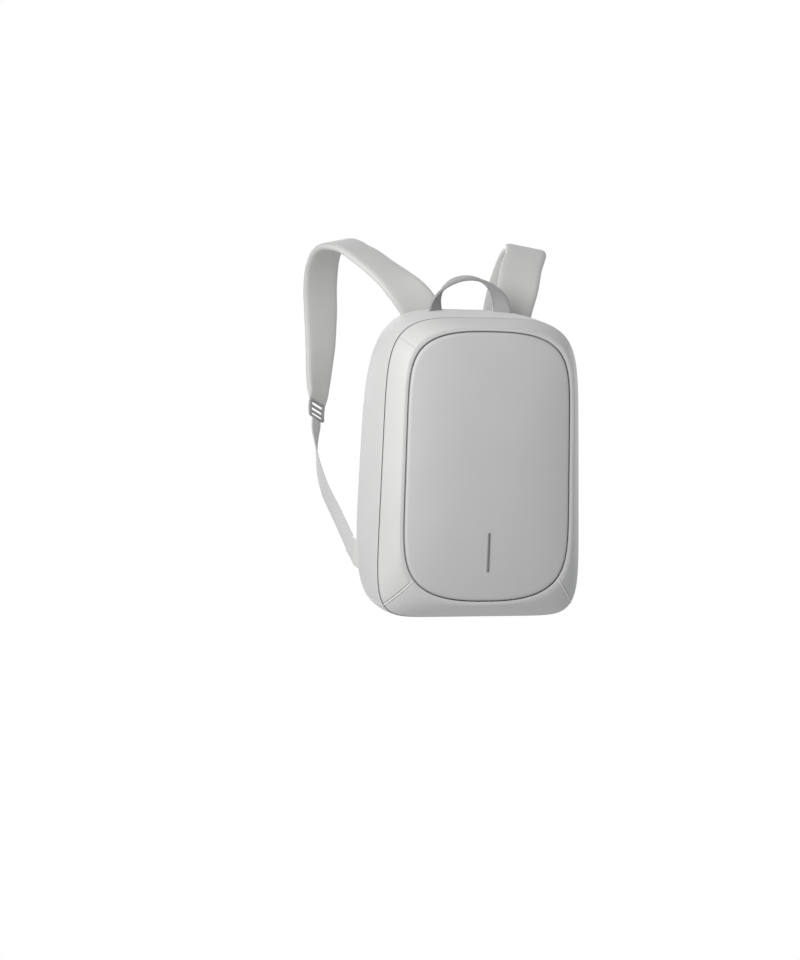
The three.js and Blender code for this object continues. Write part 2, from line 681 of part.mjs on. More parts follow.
function addStraps(bag) {
  bag.add(mesh("shoulder_strap_right", shoulderStrap(1), STRAP_FABRIC));
  bag.add(mesh("shoulder_strap_left", mirrored(shoulderStrap(-1)), STRAP_FABRIC));
  const pieces = [
    ["strap_buckle", strapBuckle(), PLASTIC],
    ["lower_webbing", lowerWebbing(), WEBBING],
    ["wing_tab", wingTab(), FABRIC],
  ];
  for (const [name, geometry, finish] of pieces) {
    bag.add(mesh(name + "_right", geometry, finish));
    bag.add(mesh(name + "_left", mirrored(geometry), finish));
  }
}

const bag = new THREE.Group();
addFrame(bag);
addFrontPanel(bag);
addBead(bag);
addSideBand(bag);
addClosure(bag);
addBackPanel(bag);
addHandle(bag);
addStraps(bag);
bag.position.set(0, -BACK_FACE, -HANG_UP);

const group = new THREE.Group();
group.add(bag);

export default group;
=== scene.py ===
import bisect
import functools
import math

import bmesh
import bpy
from mathutils import Matrix, Vector


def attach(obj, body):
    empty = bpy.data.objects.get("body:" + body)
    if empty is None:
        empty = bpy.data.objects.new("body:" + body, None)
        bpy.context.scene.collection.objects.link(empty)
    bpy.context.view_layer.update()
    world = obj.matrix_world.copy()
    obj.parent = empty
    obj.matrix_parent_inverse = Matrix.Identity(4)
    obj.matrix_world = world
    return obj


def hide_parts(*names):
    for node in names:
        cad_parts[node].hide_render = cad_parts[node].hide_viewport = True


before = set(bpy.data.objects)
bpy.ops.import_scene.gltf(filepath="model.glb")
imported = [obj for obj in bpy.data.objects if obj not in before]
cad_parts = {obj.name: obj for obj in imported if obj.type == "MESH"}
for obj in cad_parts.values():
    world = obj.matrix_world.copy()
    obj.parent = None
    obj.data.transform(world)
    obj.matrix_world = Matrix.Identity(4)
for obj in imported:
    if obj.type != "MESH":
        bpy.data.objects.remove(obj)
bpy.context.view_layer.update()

# An anti-theft backpack in the form that it has on a wearer's back.
# Shapes are laid out in millimetres with the bag's base at Z 0 and its front seam at Y 0, the bag's front
# towards -Y. place() brings them to the frame, in metres.
MM = 0.001
GAP = 0.3

# Bag
SIDE_DEPTH = 95.0
SIDE_BULGE = 1.4
BACK_EDGE = 6.5
EDGE_RADIUS = 5.0
BAND_WALL = 3.0
FRAME_DEPTH = 33.0
GROOVE_WIDTH = 3.2
BEAD_WIDTH = 3.6
RIM_OUT = GROOVE_WIDTH / 2 + BEAD_WIDTH + GAP
FLOOR = -28.0
PANEL_EDGE = 1.4
PANEL_INSET = 0.6
PANEL_CROWN = 8.6
ZIP_WIDTH = 5.0
ZIP_INSET = 4.4
ZIP_THICKNESS = 2.5
BACK_START = SIDE_DEPTH + ZIP_WIDTH + 2 * GAP
BACK_THICKNESS = 9.4
BACK_RIM = 4.8
BACK_FACE = BACK_START + BACK_THICKNESS
HANG_UP = 400.0
SLIDER_UP = 150.0

# Straps and handle
STRAP_WIDTH = 62.0
STRAP_THICKNESS = 11.0
STRAP_LEAN = 12.0
SHOULDER_OUT = 150.0
TORSO_DEPTH = 245.0
BAG_HEIGHT = 430.0
BAG_HALF_WIDTH = 149.5
BUCKLE_WIDTH = 40.0
BUCKLE_LENGTH = 28.0
BUCKLE_THICKNESS = 6.0
WEBBING_WIDTH = 25.0
WEBBING_THICKNESS = 2.2
WEBBING_LEAD = 12.0
TAB_HEIGHT = 44.0
TAB_UP = 82.0
TAB_THICKNESS = 3.2
TAB_REACH = 20.0
TAB_LAP = 16.0
TAB_TWIST = 3.0
TAB_SLOPE = math.radians(30)
HANDLE_SPAN = 103.0
HANDLE_RISE = 50.0
HANDLE_WIDTH = 27.0
HANDLE_THICKNESS = 4.2
HANDLE_BACK = 71.0
HANDLE_TURN = math.radians(62)
HANDLE_TIP = math.radians(10)

FINE = 720
BEND_WEIGHT = 60.0
WELD = 0.002

SEAM = dict(name="seam", half_width=149.5, bottom=0.0, top=430.0, side_above=4.2, end_above=6.5,
            side_below=8.9, end_below=7.6, taper=0.041)
GROOVE = dict(name="groove", half_width=122.8, bottom=25.7, top=409.7, side_above=2.73, end_above=7.4,
              side_below=2.58, end_below=6.3, taper=0.023)
BACK = dict(name="back", half_width=155.2, bottom=0.0, top=442.4, side_above=4.3, end_above=3.87,
            side_below=6.9, end_below=4.0, taper=0.054)
RECESS = dict(name="recess", half_width=112.0, bottom=34.0, top=366.0, side_above=5.0, end_above=6.0,
              side_below=6.0, end_below=6.0, taper=0.02)
OUTLINES = {spec["name"]: spec for spec in (SEAM, GROOVE, BACK, RECESS)}
PANEL_MIDDLE = (GROOVE["top"] + GROOVE["bottom"]) / 2
LOOP = (-90.0, 270.0)
UPPER_MITRE = (38.0, 31.5)
LOWER_MITRE = (-46.0, -34.8)
ZIP_END = -14.0


# ---- Camera ----
CENTRE = Vector((0.0, -BACK_FACE * MM, (215.0 - HANG_UP) * MM))
AZIMUTH, ELEVATION, ROLL = math.radians(-19.1), math.radians(2.75), math.radians(1.292)
DISTANCE = 3.6
FOCAL = 2503.8
PHOTO = (800, 960)
CENTRE_AT = (481.05, 467.6)


def add_camera():
    """The camera stands where the photograph's did, and is turned until the bag lies where it lay."""
    back = Vector((math.sin(AZIMUTH) * math.cos(ELEVATION), -math.cos(AZIMUTH) * math.cos(ELEVATION),
                   math.sin(ELEVATION)))
    right = Vector((math.cos(AZIMUTH), math.sin(AZIMUTH), 0.0))
    up = back.cross(right)
    across = right * math.cos(ROLL) + up * math.sin(ROLL)
    rise = up * math.cos(ROLL) - right * math.sin(ROLL)
    axes = Matrix((across, rise, back)).transposed()
    towards = Vector(((CENTRE_AT[0] - PHOTO[0] / 2) / FOCAL, (PHOTO[1] / 2 - CENTRE_AT[1]) / FOCAL, -1.0))
    turn = Vector((0.0, 0.0, -1.0)).rotation_difference(towards.normalized()).to_matrix()
    data = bpy.data.cameras.new("camera")
    data.sensor_width = 36.0
    data.lens = FOCAL * data.sensor_width / PHOTO[1]
    camera = bpy.data.objects.new("camera", data)
    bpy.context.scene.collection.objects.link(camera)
    camera.matrix_world = Matrix.Translation(CENTRE + back * DISTANCE) @ (axes @ turn.transposed()).to_4x4()
    bpy.context.scene.camera = camera


add_camera()


# ---- Outlines and routes ----
def lerp(a, b, share):
    return a + (b - a) * share


def outline(spec, degrees, inset=0.0):
    """A point of an outline seen from the front, pulled in by inset."""
    c, s = math.cos(math.radians(degrees)), math.sin(math.radians(degrees))
    side, end = ("side_above", "end_above") if s > 0 else ("side_below", "end_below")
    across = math.copysign(abs(c) ** (2 / spec[side]), c)
    rise = math.copysign(abs(s) ** (2 / spec[end]), s)
    x = (spec["half_width"] - inset) * across * (1 - spec["taper"] * rise)
    half = (spec["top"] - spec["bottom"]) / 2 - inset
    return Vector((x, (spec["top"] + spec["bottom"]) / 2 + half * rise))


@functools.lru_cache(maxsize=None)
def fine_line(spec_name, span, inset, bend_weight):
    """An outline in small steps, with the length and the bends up to each of them."""
    fine = [outline(OUTLINES[spec_name], lerp(*span, i / FINE), inset) for i in range(FINE + 1)]
    sums, heading = [0.0], None
    for before, after in zip(fine, fine[1:]):
        step = after - before
        angle = math.atan2(step.y, step.x)
        swing = 0.0 if heading is None else (angle - heading + math.pi) % (2 * math.pi) - math.pi
        heading = angle
        sums.append(sums[-1] + step.length + bend_weight * abs(swing))
    return fine, sums


def trace(spec, span, shares, inset=0.0, bend_weight=BEND_WEIGHT):
    """Points of an outline between two angles, at shares of its length and its bends together."""
    fine, sums = fine_line(spec["name"], tuple(span), inset, bend_weight)
    points = []
    for share in shares:
        goal = sums[-1] * share
        k = min(FINE, max(1, bisect.bisect_left(sums, goal)))
        points.append(fine[k - 1].lerp(fine[k], (goal - sums[k - 1]) / (sums[k] - sums[k - 1])))
    return points


def even(count, closed=True):
    return [i / (count if closed else count - 1) for i in range(count)]


def level(points, y):
    """Points of an outline at a depth behind the front seam."""
    return [Vector((p.x, y, p.y)) for p in points]


def further(spec, degrees, distance):
    """The angle at which an outline is this far further on."""
    length = (outline(spec, degrees + 0.5) - outline(spec, degrees - 0.5)).length
    return degrees + distance / length


class Route:
    """A smooth curve through points, sharing its points out as the solids' curves do."""

    def __init__(self, points):
        self.points = points

    def at(self, share):
        points = self.points
        place = share * (len(points) - 1)
        k = min(len(points) - 2, int(place))
        w = place - k
        p1, p2 = points[k], points[k + 1]
        p0 = points[k - 1] if k else p1 * 2 - p2
        p3 = points[k + 2] if k + 2 < len(points) else p2 * 2 - p1
        d0, d1, d2 = (math.sqrt((b - a).length) or 1.0 for a, b in ((p0, p1), (p1, p2), (p2, p3)))
        t1 = ((p1 - p0) / d0 - (p2 - p0) / (d0 + d1) + (p2 - p1) / d1) * d1
        t2 = ((p2 - p1) / d1 - (p3 - p1) / (d1 + d2) + (p3 - p2) / d2) * d1
        return p1 + t1 * w + (p2 * 3 - p1 * 3 - t1 * 2 - t2) * w * w + (p1 * 2 - p2 * 2 + t1 + t2) * w ** 3

    def heading(self, share):
        return (self.at(min(1.0, share + 1e-4)) - self.at(max(0.0, share - 1e-4))).normalized()


def column(rows, share):
    """A value of a table's rows at a share of the way along."""
    place = share * (len(rows) - 1)
    k = min(len(rows) - 2, int(place))
    return lerp(rows[k], rows[k + 1], place - k)


def smooth_line(knots, steps):
    """A smooth line through a few 2-D knots."""
    route = Route([Vector((a, b, 0.0)) for a, b in knots])
    count = steps * (len(knots) - 1)
    return [tuple(route.at(i / count)[:2]) for i in range(count + 1)]


# ---- Mesh tools ----
def new_bmesh():
    bm = bmesh.new()
    bm.verts.layers.int.new("station")
    bm.verts.layers.int.new("row")
    bm.loops.layers.uv.new("UVMap")
    return bm


def loft(bm, rows, closed=True, material=0):
    """A skin over rows of points. Each row is extruded from the one before, and its UV is in metres."""
    station, row_layer = bm.verts.layers.int["station"], bm.verts.layers.int["row"]
    uv = bm.loops.layers.uv["UVMap"]
    count = len(rows[0])
    if closed:
        verts = bmesh.ops.create_circle(bm, segments=count, radius=1.0)["verts"]
    else:
        verts = [bm.verts.new(rows[0][0])]
        while len(verts) < count:
            verts += bmesh.ops.extrude_vert_indiv(bm, verts=verts[-1:])["verts"]
    for i, vert in enumerate(verts):
        vert[station] = i
        vert[row_layer] = 0
        vert.co = rows[0][i]
    edges = list({e for v in verts for e in v.link_edges})
    faces = []
    for k, points in enumerate(rows[1:], 1):
        made = bmesh.ops.extrude_edge_only(bm, edges=edges)["geom"]
        verts = [g for g in made if isinstance(g, bmesh.types.BMVert)]
        inside = set(verts)
        edges = [g for g in made if isinstance(g, bmesh.types.BMEdge)
                 and g.verts[0] in inside and g.verts[1] in inside]
        faces += {f for e in edges for f in e.link_faces}
        for vert in verts:
            vert[row_layer] = k
            vert.co = points[vert[station]]
    middle = rows[len(rows) // 2]
    ring = middle + middle[:1] if closed else middle
    across, along = [0.0], [0.0]
    for a, b in zip(ring, ring[1:]):
        across.append(across[-1] + (b - a).length * MM)
    for a, b in zip(rows, rows[1:]):
        along.append(along[-1] + sum((q - p).length for p, q in zip(a, b)) / count * MM)
    for face in faces:
        face.material_index = material
        stations = [v[station] for v in face.verts]
        wraps = closed and max(stations) - min(stations) > 1
        for corner in face.loops:
            i = corner.vert[station]
            i = count if wraps and i == 0 else i
            corner[uv].uv = (across[i], along[corner.vert[row_layer]])
    return faces


def close_ends(bm):
    bmesh.ops.holes_fill(bm, edges=[e for e in bm.edges if e.is_boundary], sides=0)


def place(bm, name, stands_for, slot, materials, side=1, sharp=None, fill=None):
    """Closes a piece's seams, turns its faces out and gives it its name, place, body and finish."""
    bmesh.ops.remove_doubles(bm, verts=bm.verts, dist=WELD)
    bmesh.ops.scale(bm, vec=(side * MM, MM, MM), verts=bm.verts)
    bmesh.ops.translate(bm, vec=(0.0, -BACK_FACE * MM, -HANG_UP * MM), verts=bm.verts)
    bmesh.ops.recalc_face_normals(bm, faces=bm.faces)
    mesh = bpy.data.meshes.new(name)
    bm.to_mesh(mesh)
    bm.free()
    for material in materials:
        mesh.materials.append(material)
    mesh.shade_smooth()
    if sharp:
        mesh.set_sharp_from_angle(angle=math.radians(sharp))
    piece = bpy.data.objects.new(name, mesh)
    bpy.context.scene.collection.objects.link(piece)
    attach(piece, "root")
    if stands_for:
        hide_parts(*stands_for)
    return piece


def block(bm, size, at, turn=None, bevel=0.0, segments=2, material=0):
    """A block with its edges rounded, turned and put in place."""
    matrix = Matrix.Translation(at) @ (turn or Matrix.Identity(4)) @ Matrix.Diagonal((*size, 1.0))
    verts = bmesh.ops.create_cube(bm, size=1.0, matrix=matrix)["verts"]
    edges = list({e for v in verts for e in v.link_edges})
    faces = {f for v in verts for f in v.link_faces}
    if bevel:
        made = bmesh.ops.bevel(bm, geom=edges, offset=bevel, segments=segments, profile=0.5,
                               affect="EDGES", material=-1)
        faces = {f for f in faces if f.is_valid} | set(made["faces"])
    for face in faces:
        face.material_index = material


def axes(along, up):
    """A turn that takes X to along and Z to up."""
    along = along.normalized()
    side = up.cross(along).normalized()
    return Matrix((along, side, along.cross(side))).transposed().to_4x4()


def in_batches(bm, items, add, size=40):
    """Adds many small shapes a batch at a time, because an operator slows down as its mesh grows."""
    for first in range(0, len(items), size):
        batch = new_bmesh()
        for item in items[first:first + size]:
            add(batch, item)
        mesh = bpy.data.meshes.new("batch")
        batch.to_mesh(mesh)
        batch.free()
        bm.from_mesh(mesh)
        bpy.data.meshes.remove(mesh)


def stitches(bm, places, length, width, material):
    """A small rounded stitch at each place, given as its point, its run and the way it faces."""
    size = Matrix.Diagonal((length / 2, width / 2, width / 3, 1.0))

    def add(batch, spot):
        point, run, facing = spot
        matrix = Matrix.Translation(point) @ axes(run, facing) @ size
        verts = bmesh.ops.create_icosphere(batch, subdivisions=1, radius=1.0, matrix=matrix)["verts"]
        for face in {f for v in verts for f in v.link_faces}:
            face.material_index = material

    in_batches(bm, places, add)


# ---- Finishes ----
def start_material(name, roughness, sheen=0.0, sheen_roughness=0.5, specular=0.5):
    material = bpy.data.materials.new(name)
    material.use_nodes = True
    shader = material.node_tree.nodes["Principled BSDF"]
    shader.inputs["Roughness"].default_value = roughness
    shader.inputs["Sheen Weight"].default_value = sheen
    shader.inputs["Sheen Roughness"].default_value = sheen_roughness
    shader.inputs["Specular IOR Level"].default_value = specular
    return material, shader


class Wires:
    """Adds nodes to a material and joins them."""

    def __init__(self, material):
        self.tree = material.node_tree

    def node(self, kind, inputs=None, **settings):
        made = self.tree.nodes.new("ShaderNode" + kind)
        for key, value in settings.items():
            setattr(made, key, value)
        for key, value in (inputs or {}).items():
            if isinstance(value, bpy.types.NodeSocket):
                self.tree.links.new(value, made.inputs[key])
            else:
                made.inputs[key].default_value = value
        return made

    def join(self, output, socket):
        self.tree.links.new(output, socket)

    def noise(self, vector, scale, detail=2.0, rough=0.5):
        return self.node("TexNoise", {"Vector": vector, "Scale": scale, "Detail": detail,
                                      "Roughness": rough}).outputs["Fac"]

    def shades(self, factor, low, high, colours):
        """A ramp of colours between two values of a factor."""
        ramp = self.node("ValToRGB", {"Fac": factor})
        ramp.color_ramp.elements[0].position = low
        ramp.color_ramp.elements[1].position = high
        ramp.color_ramp.elements[0].color = (*colours[0], 1.0)
        ramp.color_ramp.elements[1].color = (*colours[1], 1.0)
        return ramp.outputs["Color"]

    def math(self, operation, a, b):
        return self.node("Math", {0: a, 1: b}, operation=operation).outputs[0]

    def bump(self, height, distance, strength=1.0, under=None):
        inputs = {"Height": height, "Distance": distance, "Strength": strength}
        if under:
            inputs["Normal"] = under
        return self.node("Bump", inputs).outputs["Normal"]


def tone(colour, factor):
    return tuple(c * factor for c in colour)


def coated_fabric(name, colour, roughness=0.55, sheen=0.25, grain=0.00006, mottle=0.03):
    """Smooth coated fabric: a fine weave under the coat, a slight unevenness of tone and of its surface."""
    material, shader = start_material(name, roughness, sheen, 0.45, 0.35)
    wires = Wires(material)
    spot = wires.node("TexCoord").outputs["Object"]
    broad = wires.noise(spot, 14.0, 3.0)
    fine = wires.noise(spot, 1900.0, 2.0, 0.6)
    speck = wires.noise(spot, 620.0, 2.0, 0.6)
    tones = wires.math("ADD", wires.math("MULTIPLY", broad, 0.6), wires.math("MULTIPLY", speck, 0.4))
    wires.join(wires.shades(tones, 0.3, 0.7, (tone(colour, 1 - mottle), tone(colour, 1 + mottle))),
               shader.inputs["Base Color"])
    wires.join(wires.math("ADD", wires.math("MULTIPLY", speck, 0.14), roughness - 0.07),
               shader.inputs["Roughness"])
    soft = wires.bump(wires.noise(spot, 38.0, 2.0), 0.0006, 0.35)
    wires.join(wires.bump(wires.math("ADD", fine, speck), grain, 0.8, soft), shader.inputs["Normal"])
    return material


def woven(name, colour, pitch=0.0014, rib=0.0022, depth=0.00018, dark=0.72, roughness=0.8, sheen=0.3):
    """Woven band: ribs across its length and columns along it, from the piece's own UV in metres."""
    material, shader = start_material(name, roughness, sheen, 0.5, 0.3)
    wires = Wires(material)
    uv = wires.node("TexCoord").outputs["UV"]
    period = math.tau / 20.0
    across = wires.node("TexWave", {"Vector": uv, "Scale": period / rib, "Distortion": 0.0},
                        bands_direction="X").outputs["Fac"]
    along = wires.node("TexWave", {"Vector": uv, "Scale": period / pitch, "Distortion": 0.0},
                       bands_direction="Y").outputs["Fac"]
    weave = wires.math("MULTIPLY", wires.math("POWER", across, 0.5), wires.math("POWER", along, 0.5))
    spot = wires.node("TexCoord").outputs["Object"]
    fuzz = wires.noise(spot, 900.0, 2.0)
    height = wires.math("ADD", weave, wires.math("MULTIPLY", fuzz, 0.5))
    wires.join(wires.shades(height, 0.25, 1.2, (tone(colour, dark), tone(colour, 1.06))),
               shader.inputs["Base Color"])
    wires.join(wires.bump(height, depth), shader.inputs["Normal"])
    return material


def spacer_mesh(name, colour, pitch=0.0032):
    """Open padded mesh: round holes in even rows, with painted shade inside them."""
    material, shader = start_material(name, 0.85, 0.3, 0.5, 0.25)
    wires = Wires(material)
    spot = wires.node("TexCoord").outputs["Object"]
    turned = wires.node("Mapping", {"Vector": spot, "Rotation": (0.0, math.radians(45), 0.0),
                                    "Scale": (1.0, 0.0, 1.0)}).outputs["Vector"]
    hole = wires.node("TexVoronoi", {"Vector": turned, "Scale": 1.0 / pitch, "Randomness": 0.08},
                      feature="F1").outputs["Distance"]
    yarn = wires.noise(spot, 1500.0, 2.0)
    mixed = wires.math("ADD", hole, wires.math("MULTIPLY", yarn, 0.08))
    # Painted shade: the colour falls to 0.45 of the mesh's own in the holes' centres.
    wires.join(wires.shades(mixed, 0.2, 0.42, (tone(colour, 0.45), colour)), shader.inputs["Base Color"])
    wires.join(wires.bump(wires.node("MapRange", {"Value": mixed, 1: 0.18, 2: 0.42}).outputs[0], 0.0006),
               shader.inputs["Normal"])
    return material


def moulded(name, colour, roughness=0.42):
    """Moulded plastic with a fine spark-eroded grain."""
    material, shader = start_material(name, roughness)
    wires = Wires(material)
    spot = wires.node("TexCoord").outputs["Object"]
    grain = wires.noise(spot, 1400.0, 2.0)
    broad = wires.noise(spot, 60.0, 2.0)
    wires.join(wires.shades(broad, 0.3, 0.7, (tone(colour, 0.94), tone(colour, 1.05))),
               shader.inputs["Base Color"])
    wires.join(wires.math("ADD", wires.math("MULTIPLY", grain, 0.16), roughness - 0.08),
               shader.inputs["Roughness"])
    wires.join(wires.bump(grain, 0.00005, 0.7), shader.inputs["Normal"])
    return material


def reflective(name, colour):
    """Reflective film: tiny beads under a clear face."""
    material, shader = start_material(name, 0.35, specular=0.6)
    wires = Wires(material)
    spot = wires.node("TexCoord").outputs["Object"]
    beads = wires.node("TexVoronoi", {"Vector": spot, "Scale": 2600.0}, feature="F1").outputs["Distance"]
    wires.join(wires.shades(beads, 0.1, 0.7, (tone(colour, 1.12), tone(colour, 0.85))),
               shader.inputs["Base Color"])
    wires.join(wires.bump(beads, 0.00004, 0.6), shader.inputs["Normal"])
    return material


SHELL = (0.47, 0.469, 0.46)
side_cloth = coated_fabric("side_cloth", SHELL)
frame_cloth = coated_fabric("frame_cloth", tone(SHELL, 0.96), roughness=0.5)
panel_cloth = coated_fabric("panel_cloth", (0.413, 0.41, 0.41), roughness=0.5, mottle=0.02)
strap_cloth = coated_fabric("strap_cloth", (0.46, 0.458, 0.446), roughness=0.62, grain=0.0001)
# The welts' cloth is the shell colour made lighter: a painted highlight for the light that the raised welts catch.
welt_painted_highlight = coated_fabric("welt_painted_highlight", tone(SHELL, 1.15), roughness=0.5)
# Painted shade: a dark cloth for the deep seam between the frame and the side band, where there is only shadow.
seam_slot_painted_shade = coated_fabric("seam_slot_painted_shade", (0.13, 0.13, 0.13), roughness=0.8, grain=0.00003)
webbing_cloth = woven("webbing_cloth", (0.5, 0.5, 0.495))
handle_cloth = woven("handle_cloth", (0.31, 0.31, 0.315), pitch=0.0011, rib=0.0017, depth=0.00012, dark=0.7)
back_mesh = spacer_mesh("back_mesh", (0.4, 0.4, 0.395))
zip_tape = woven("zip_tape", (0.38, 0.38, 0.375), pitch=0.0009, rib=0.0009, depth=0.00008, dark=0.8)
zip_teeth = moulded("zip_teeth", (0.38, 0.38, 0.376))
grey_plastic = moulded("grey_plastic", (0.25, 0.25, 0.252))
bar_film = reflective("bar_film", (0.15, 0.15, 0.155))
thread = coated_fabric("thread", (0.5, 0.498, 0.485), roughness=0.6, grain=0.00003)
dark_thread = coated_fabric("dark_thread", (0.12, 0.12, 0.125), roughness=0.6, grain=0.00003)


# ---- Front panel, its bar and its bead ----
PANEL_STATIONS = even(300)


def panel_face(share):
    """Depth of the front panel's face, by the share of the way from its middle to its edge."""
    return -FRAME_DEPTH - PANEL_EDGE - PANEL_CROWN * (1 - share ** 3.2)


def add_front_panel():
    edge = GROOVE_WIDTH / 2
    rim = trace(GROOVE, LOOP, PANEL_STATIONS, edge)

    def shrunk(share, y):
        return [Vector((p.x * share, y, PANEL_MIDDLE + (p.y - PANEL_MIDDLE) * share)) for p in rim]

    def ring(inset, y):
        return level(trace(GROOVE, LOOP, PANEL_STATIONS, inset), y)

    shares = [0.0, 0.06, 0.14, 0.22, 0.3, 0.38, 0.46, 0.54, 0.62, 0.69, 0.76, 0.82, 0.87, 0.91, 0.94, 0.965]
    rows = [shrunk(share, panel_face(share)) for share in shares]
    for inset, y in ((3.9, -34.9), (2.7, -34.4), (1.7, -33.7), (1.0, -32.8), (PANEL_INSET, -31.6),
                     (PANEL_INSET, FLOOR), (-RIM_OUT - 1.5, FLOOR), (-RIM_OUT - 1.5, FLOOR + 2.0),
                     (edge + 5.0, FLOOR + 2.0)):
        rows.append(ring(inset, y))
    rows += [shrunk(share, panel_face(share) + 5.0) for share in (0.9, 0.7, 0.5, 0.3, 0.0)]
    bm = new_bmesh()
    loft(bm, rows)
    place(bm, "front_panel_cover", ["front_panel"], "panel_fabric", [panel_cloth], fill=0.8)


def add_light_bar():
    half_length, half_width = 28.5, 1.7
    reach = PANEL_MIDDLE - GROOVE["bottom"] - GROOVE_WIDTH / 2
    rows = []
    for i in range(41):
        t = -1 + i / 20
        z = 96.0 + half_length * t
        tip = max(0.0, abs(t) * half_length - (half_length - half_width)) / half_width
        wide = half_width * math.sqrt(max(0.02, 1 - tip ** 2))
        base = panel_face(abs(z - PANEL_MIDDLE) / reach)
        section = [(-1, -0.25), (-1, 0.55), (-0.8, 0.9), (0, 1), (0.8, 0.9), (1, 0.55), (1, -0.25)]
        rows.append([Vector((wide * s, base - h * 1.0, z)) for s, h in section])
    bm = new_bmesh()
    loft(bm, rows)
    close_ends(bm)
    place(bm, "light_bar_film", ["light_bar"], "bar", [bar_film], sharp=50)


def add_bead():
    """A filled piping with a flattened top, flush with the frame."""
    out, half_width = 3.4, 2.4
    foot, crest = FLOOR - GAP, -FRAME_DEPTH - 0.15
    rows = []
    for k in range(21):
        s, c = math.sin(math.tau * k / 20), math.cos(math.tau * k / 20)
        inset = -out + half_width * math.copysign(abs(s) ** 0.45, s)
        y = (foot + crest) / 2 + (foot - crest) / 2 * math.copysign(abs(c) ** 0.45, c)
        rows.append(level(trace(GROOVE, LOOP, PANEL_STATIONS, inset), y))
    bm = new_bmesh()
    loft(bm, rows)
    place(bm, "panel_bead", ["panel_piping"], "frame_fabric", [frame_cloth])


# ---- Frame round the panel ----
# Each point: share of the way across from seam to rim, share of the depth, millimetres in from the
# outline, millimetres back from the face.
FRAME_SEAM_ROLL = [(0, 0, 3.8, -0.55), (0, 0, 1.9, -0.55), (0, 0, 1.3, -0.6), (0.004, 0.012, 0.95, -0.65),
                   (0.02, 0.05, 0.5, -0.1), (0.035, 0.085, 0.18, 0)]
FRAME_FACE = smooth_line([(0.05, 0.12), (0.28, 0.4), (0.6, 0.73), (0.9, 0.96), (1.0, 1.0)], 5)[:-2]
FRAME_LIP = [(1, 1, -0.5, 0.03), (1, 1, -0.2, 0.1), (1, 1, -0.04, 0.35), (1, 1, 0, 0.9), (1, 1, 0, 4)]
FRAME_INSIDE = [(0.88, 1, 0, 4), (0.6, 0.73, 3, 2.4), (0.22, 0.32, 3, 2.4), (0, 0, 3.6, 0)]
FRAME_OUTER = FRAME_SEAM_ROLL + [(a, r, 0, 0) for a, r in FRAME_FACE]
WELT_LIP = [(1, 1, 0, 0), (1, 1, 2.6, 0.02), (1, 1, 3.7, 0.15), (1, 1, 4.3, 0.6), (1, 1, 4.4, 1.6), (1, 1, 4.4, 3.0),
            (1, 1, 0, 4)]


def frame_rows(start, stop, shares, lift, lip=FRAME_LIP):
    """Sections of the frame between two mitres. lift gives how far the face stands out at each share."""
    columns = []
    outer_part = FRAME_OUTER + lip
    for k, (across, rise, inset, back) in enumerate(outer_part + FRAME_INSIDE):
        outer = k < len(outer_part)
        y = -GAP / 2 - (FRAME_DEPTH - GAP / 2) * rise + back
        points = []
        for share, raised in zip(shares, lift):
            raised = raised if outer else 0.0
            points.append((share, raised, inset - raised, y - (raised if 0 < rise else 0.0)))
        insets = sorted({p[2] for p in points})
        seams = {i: trace(SEAM, (start[0], stop[0]), shares, i) for i in insets}
        grooves = {i: trace(GROOVE, (start[1], stop[1]), shares, i - RIM_OUT) for i in insets}
        row = []
        for n, (_, _, pulled, depth) in enumerate(points):
            spot = seams[pulled][n].lerp(grooves[pulled][n], across)
            row.append(Vector((spot.x, depth, spot.y)))
        columns.append(row)
    return [[c[n] for c in columns] for n in range(len(shares))]


def mitre(angles, distance):
    return further(SEAM, angles[0], distance), further(GROOVE, angles[1], distance)


def over(angles):
    return 180 - angles[0], 180 - angles[1]


# Near a mitre the fabric turns in: distances from it in millimetres, and how far the face is sunk there.
FAINT_TURN = [(0.0, -0.3), (0.15, -0.12), (0.4, -0.03), (0.8, 0.0)]
WELT_TURN = [(0.0, -1.0), (0.3, -0.4), (0.8, -0.12), (1.6, 0.0)]


def paint_seam_slot_shade(bm, layer):
    """Painted shade: a dark cloth on the faces that show deep in the seam between the frame and the side band,
    standing in for the seam's shadow.
    """
    place_in_section = bm.verts.layers.int[layer]
    for face in bm.faces:
        if all(v[place_in_section] <= 2 for v in face.verts):
            face.material_index = 1


def frame_piece(name, start, stop, turns, side=1):
    length, count = 400.0, 90
    near, far = [[(d / length, lift) for d, lift in turn] for turn in turns]
    first, last = near[-1][0], 1 - far[-1][0]
    middle = [(lerp(first, last, i / count), 0.0) for i in range(1, count)]
    table = near + middle + [(1 - share, lift) for share, lift in reversed(far)]
    bm = new_bmesh()
    loft(bm, frame_rows(start, stop, [t[0] for t in table], [t[1] for t in table]))
    # The seam's slot on the frame is given painted shade.
    paint_seam_slot_shade(bm, "station")
    close_ends(bm)
    place(bm, name + "_cover", [name], "frame_fabric", [frame_cloth, seam_slot_painted_shade], side=side)


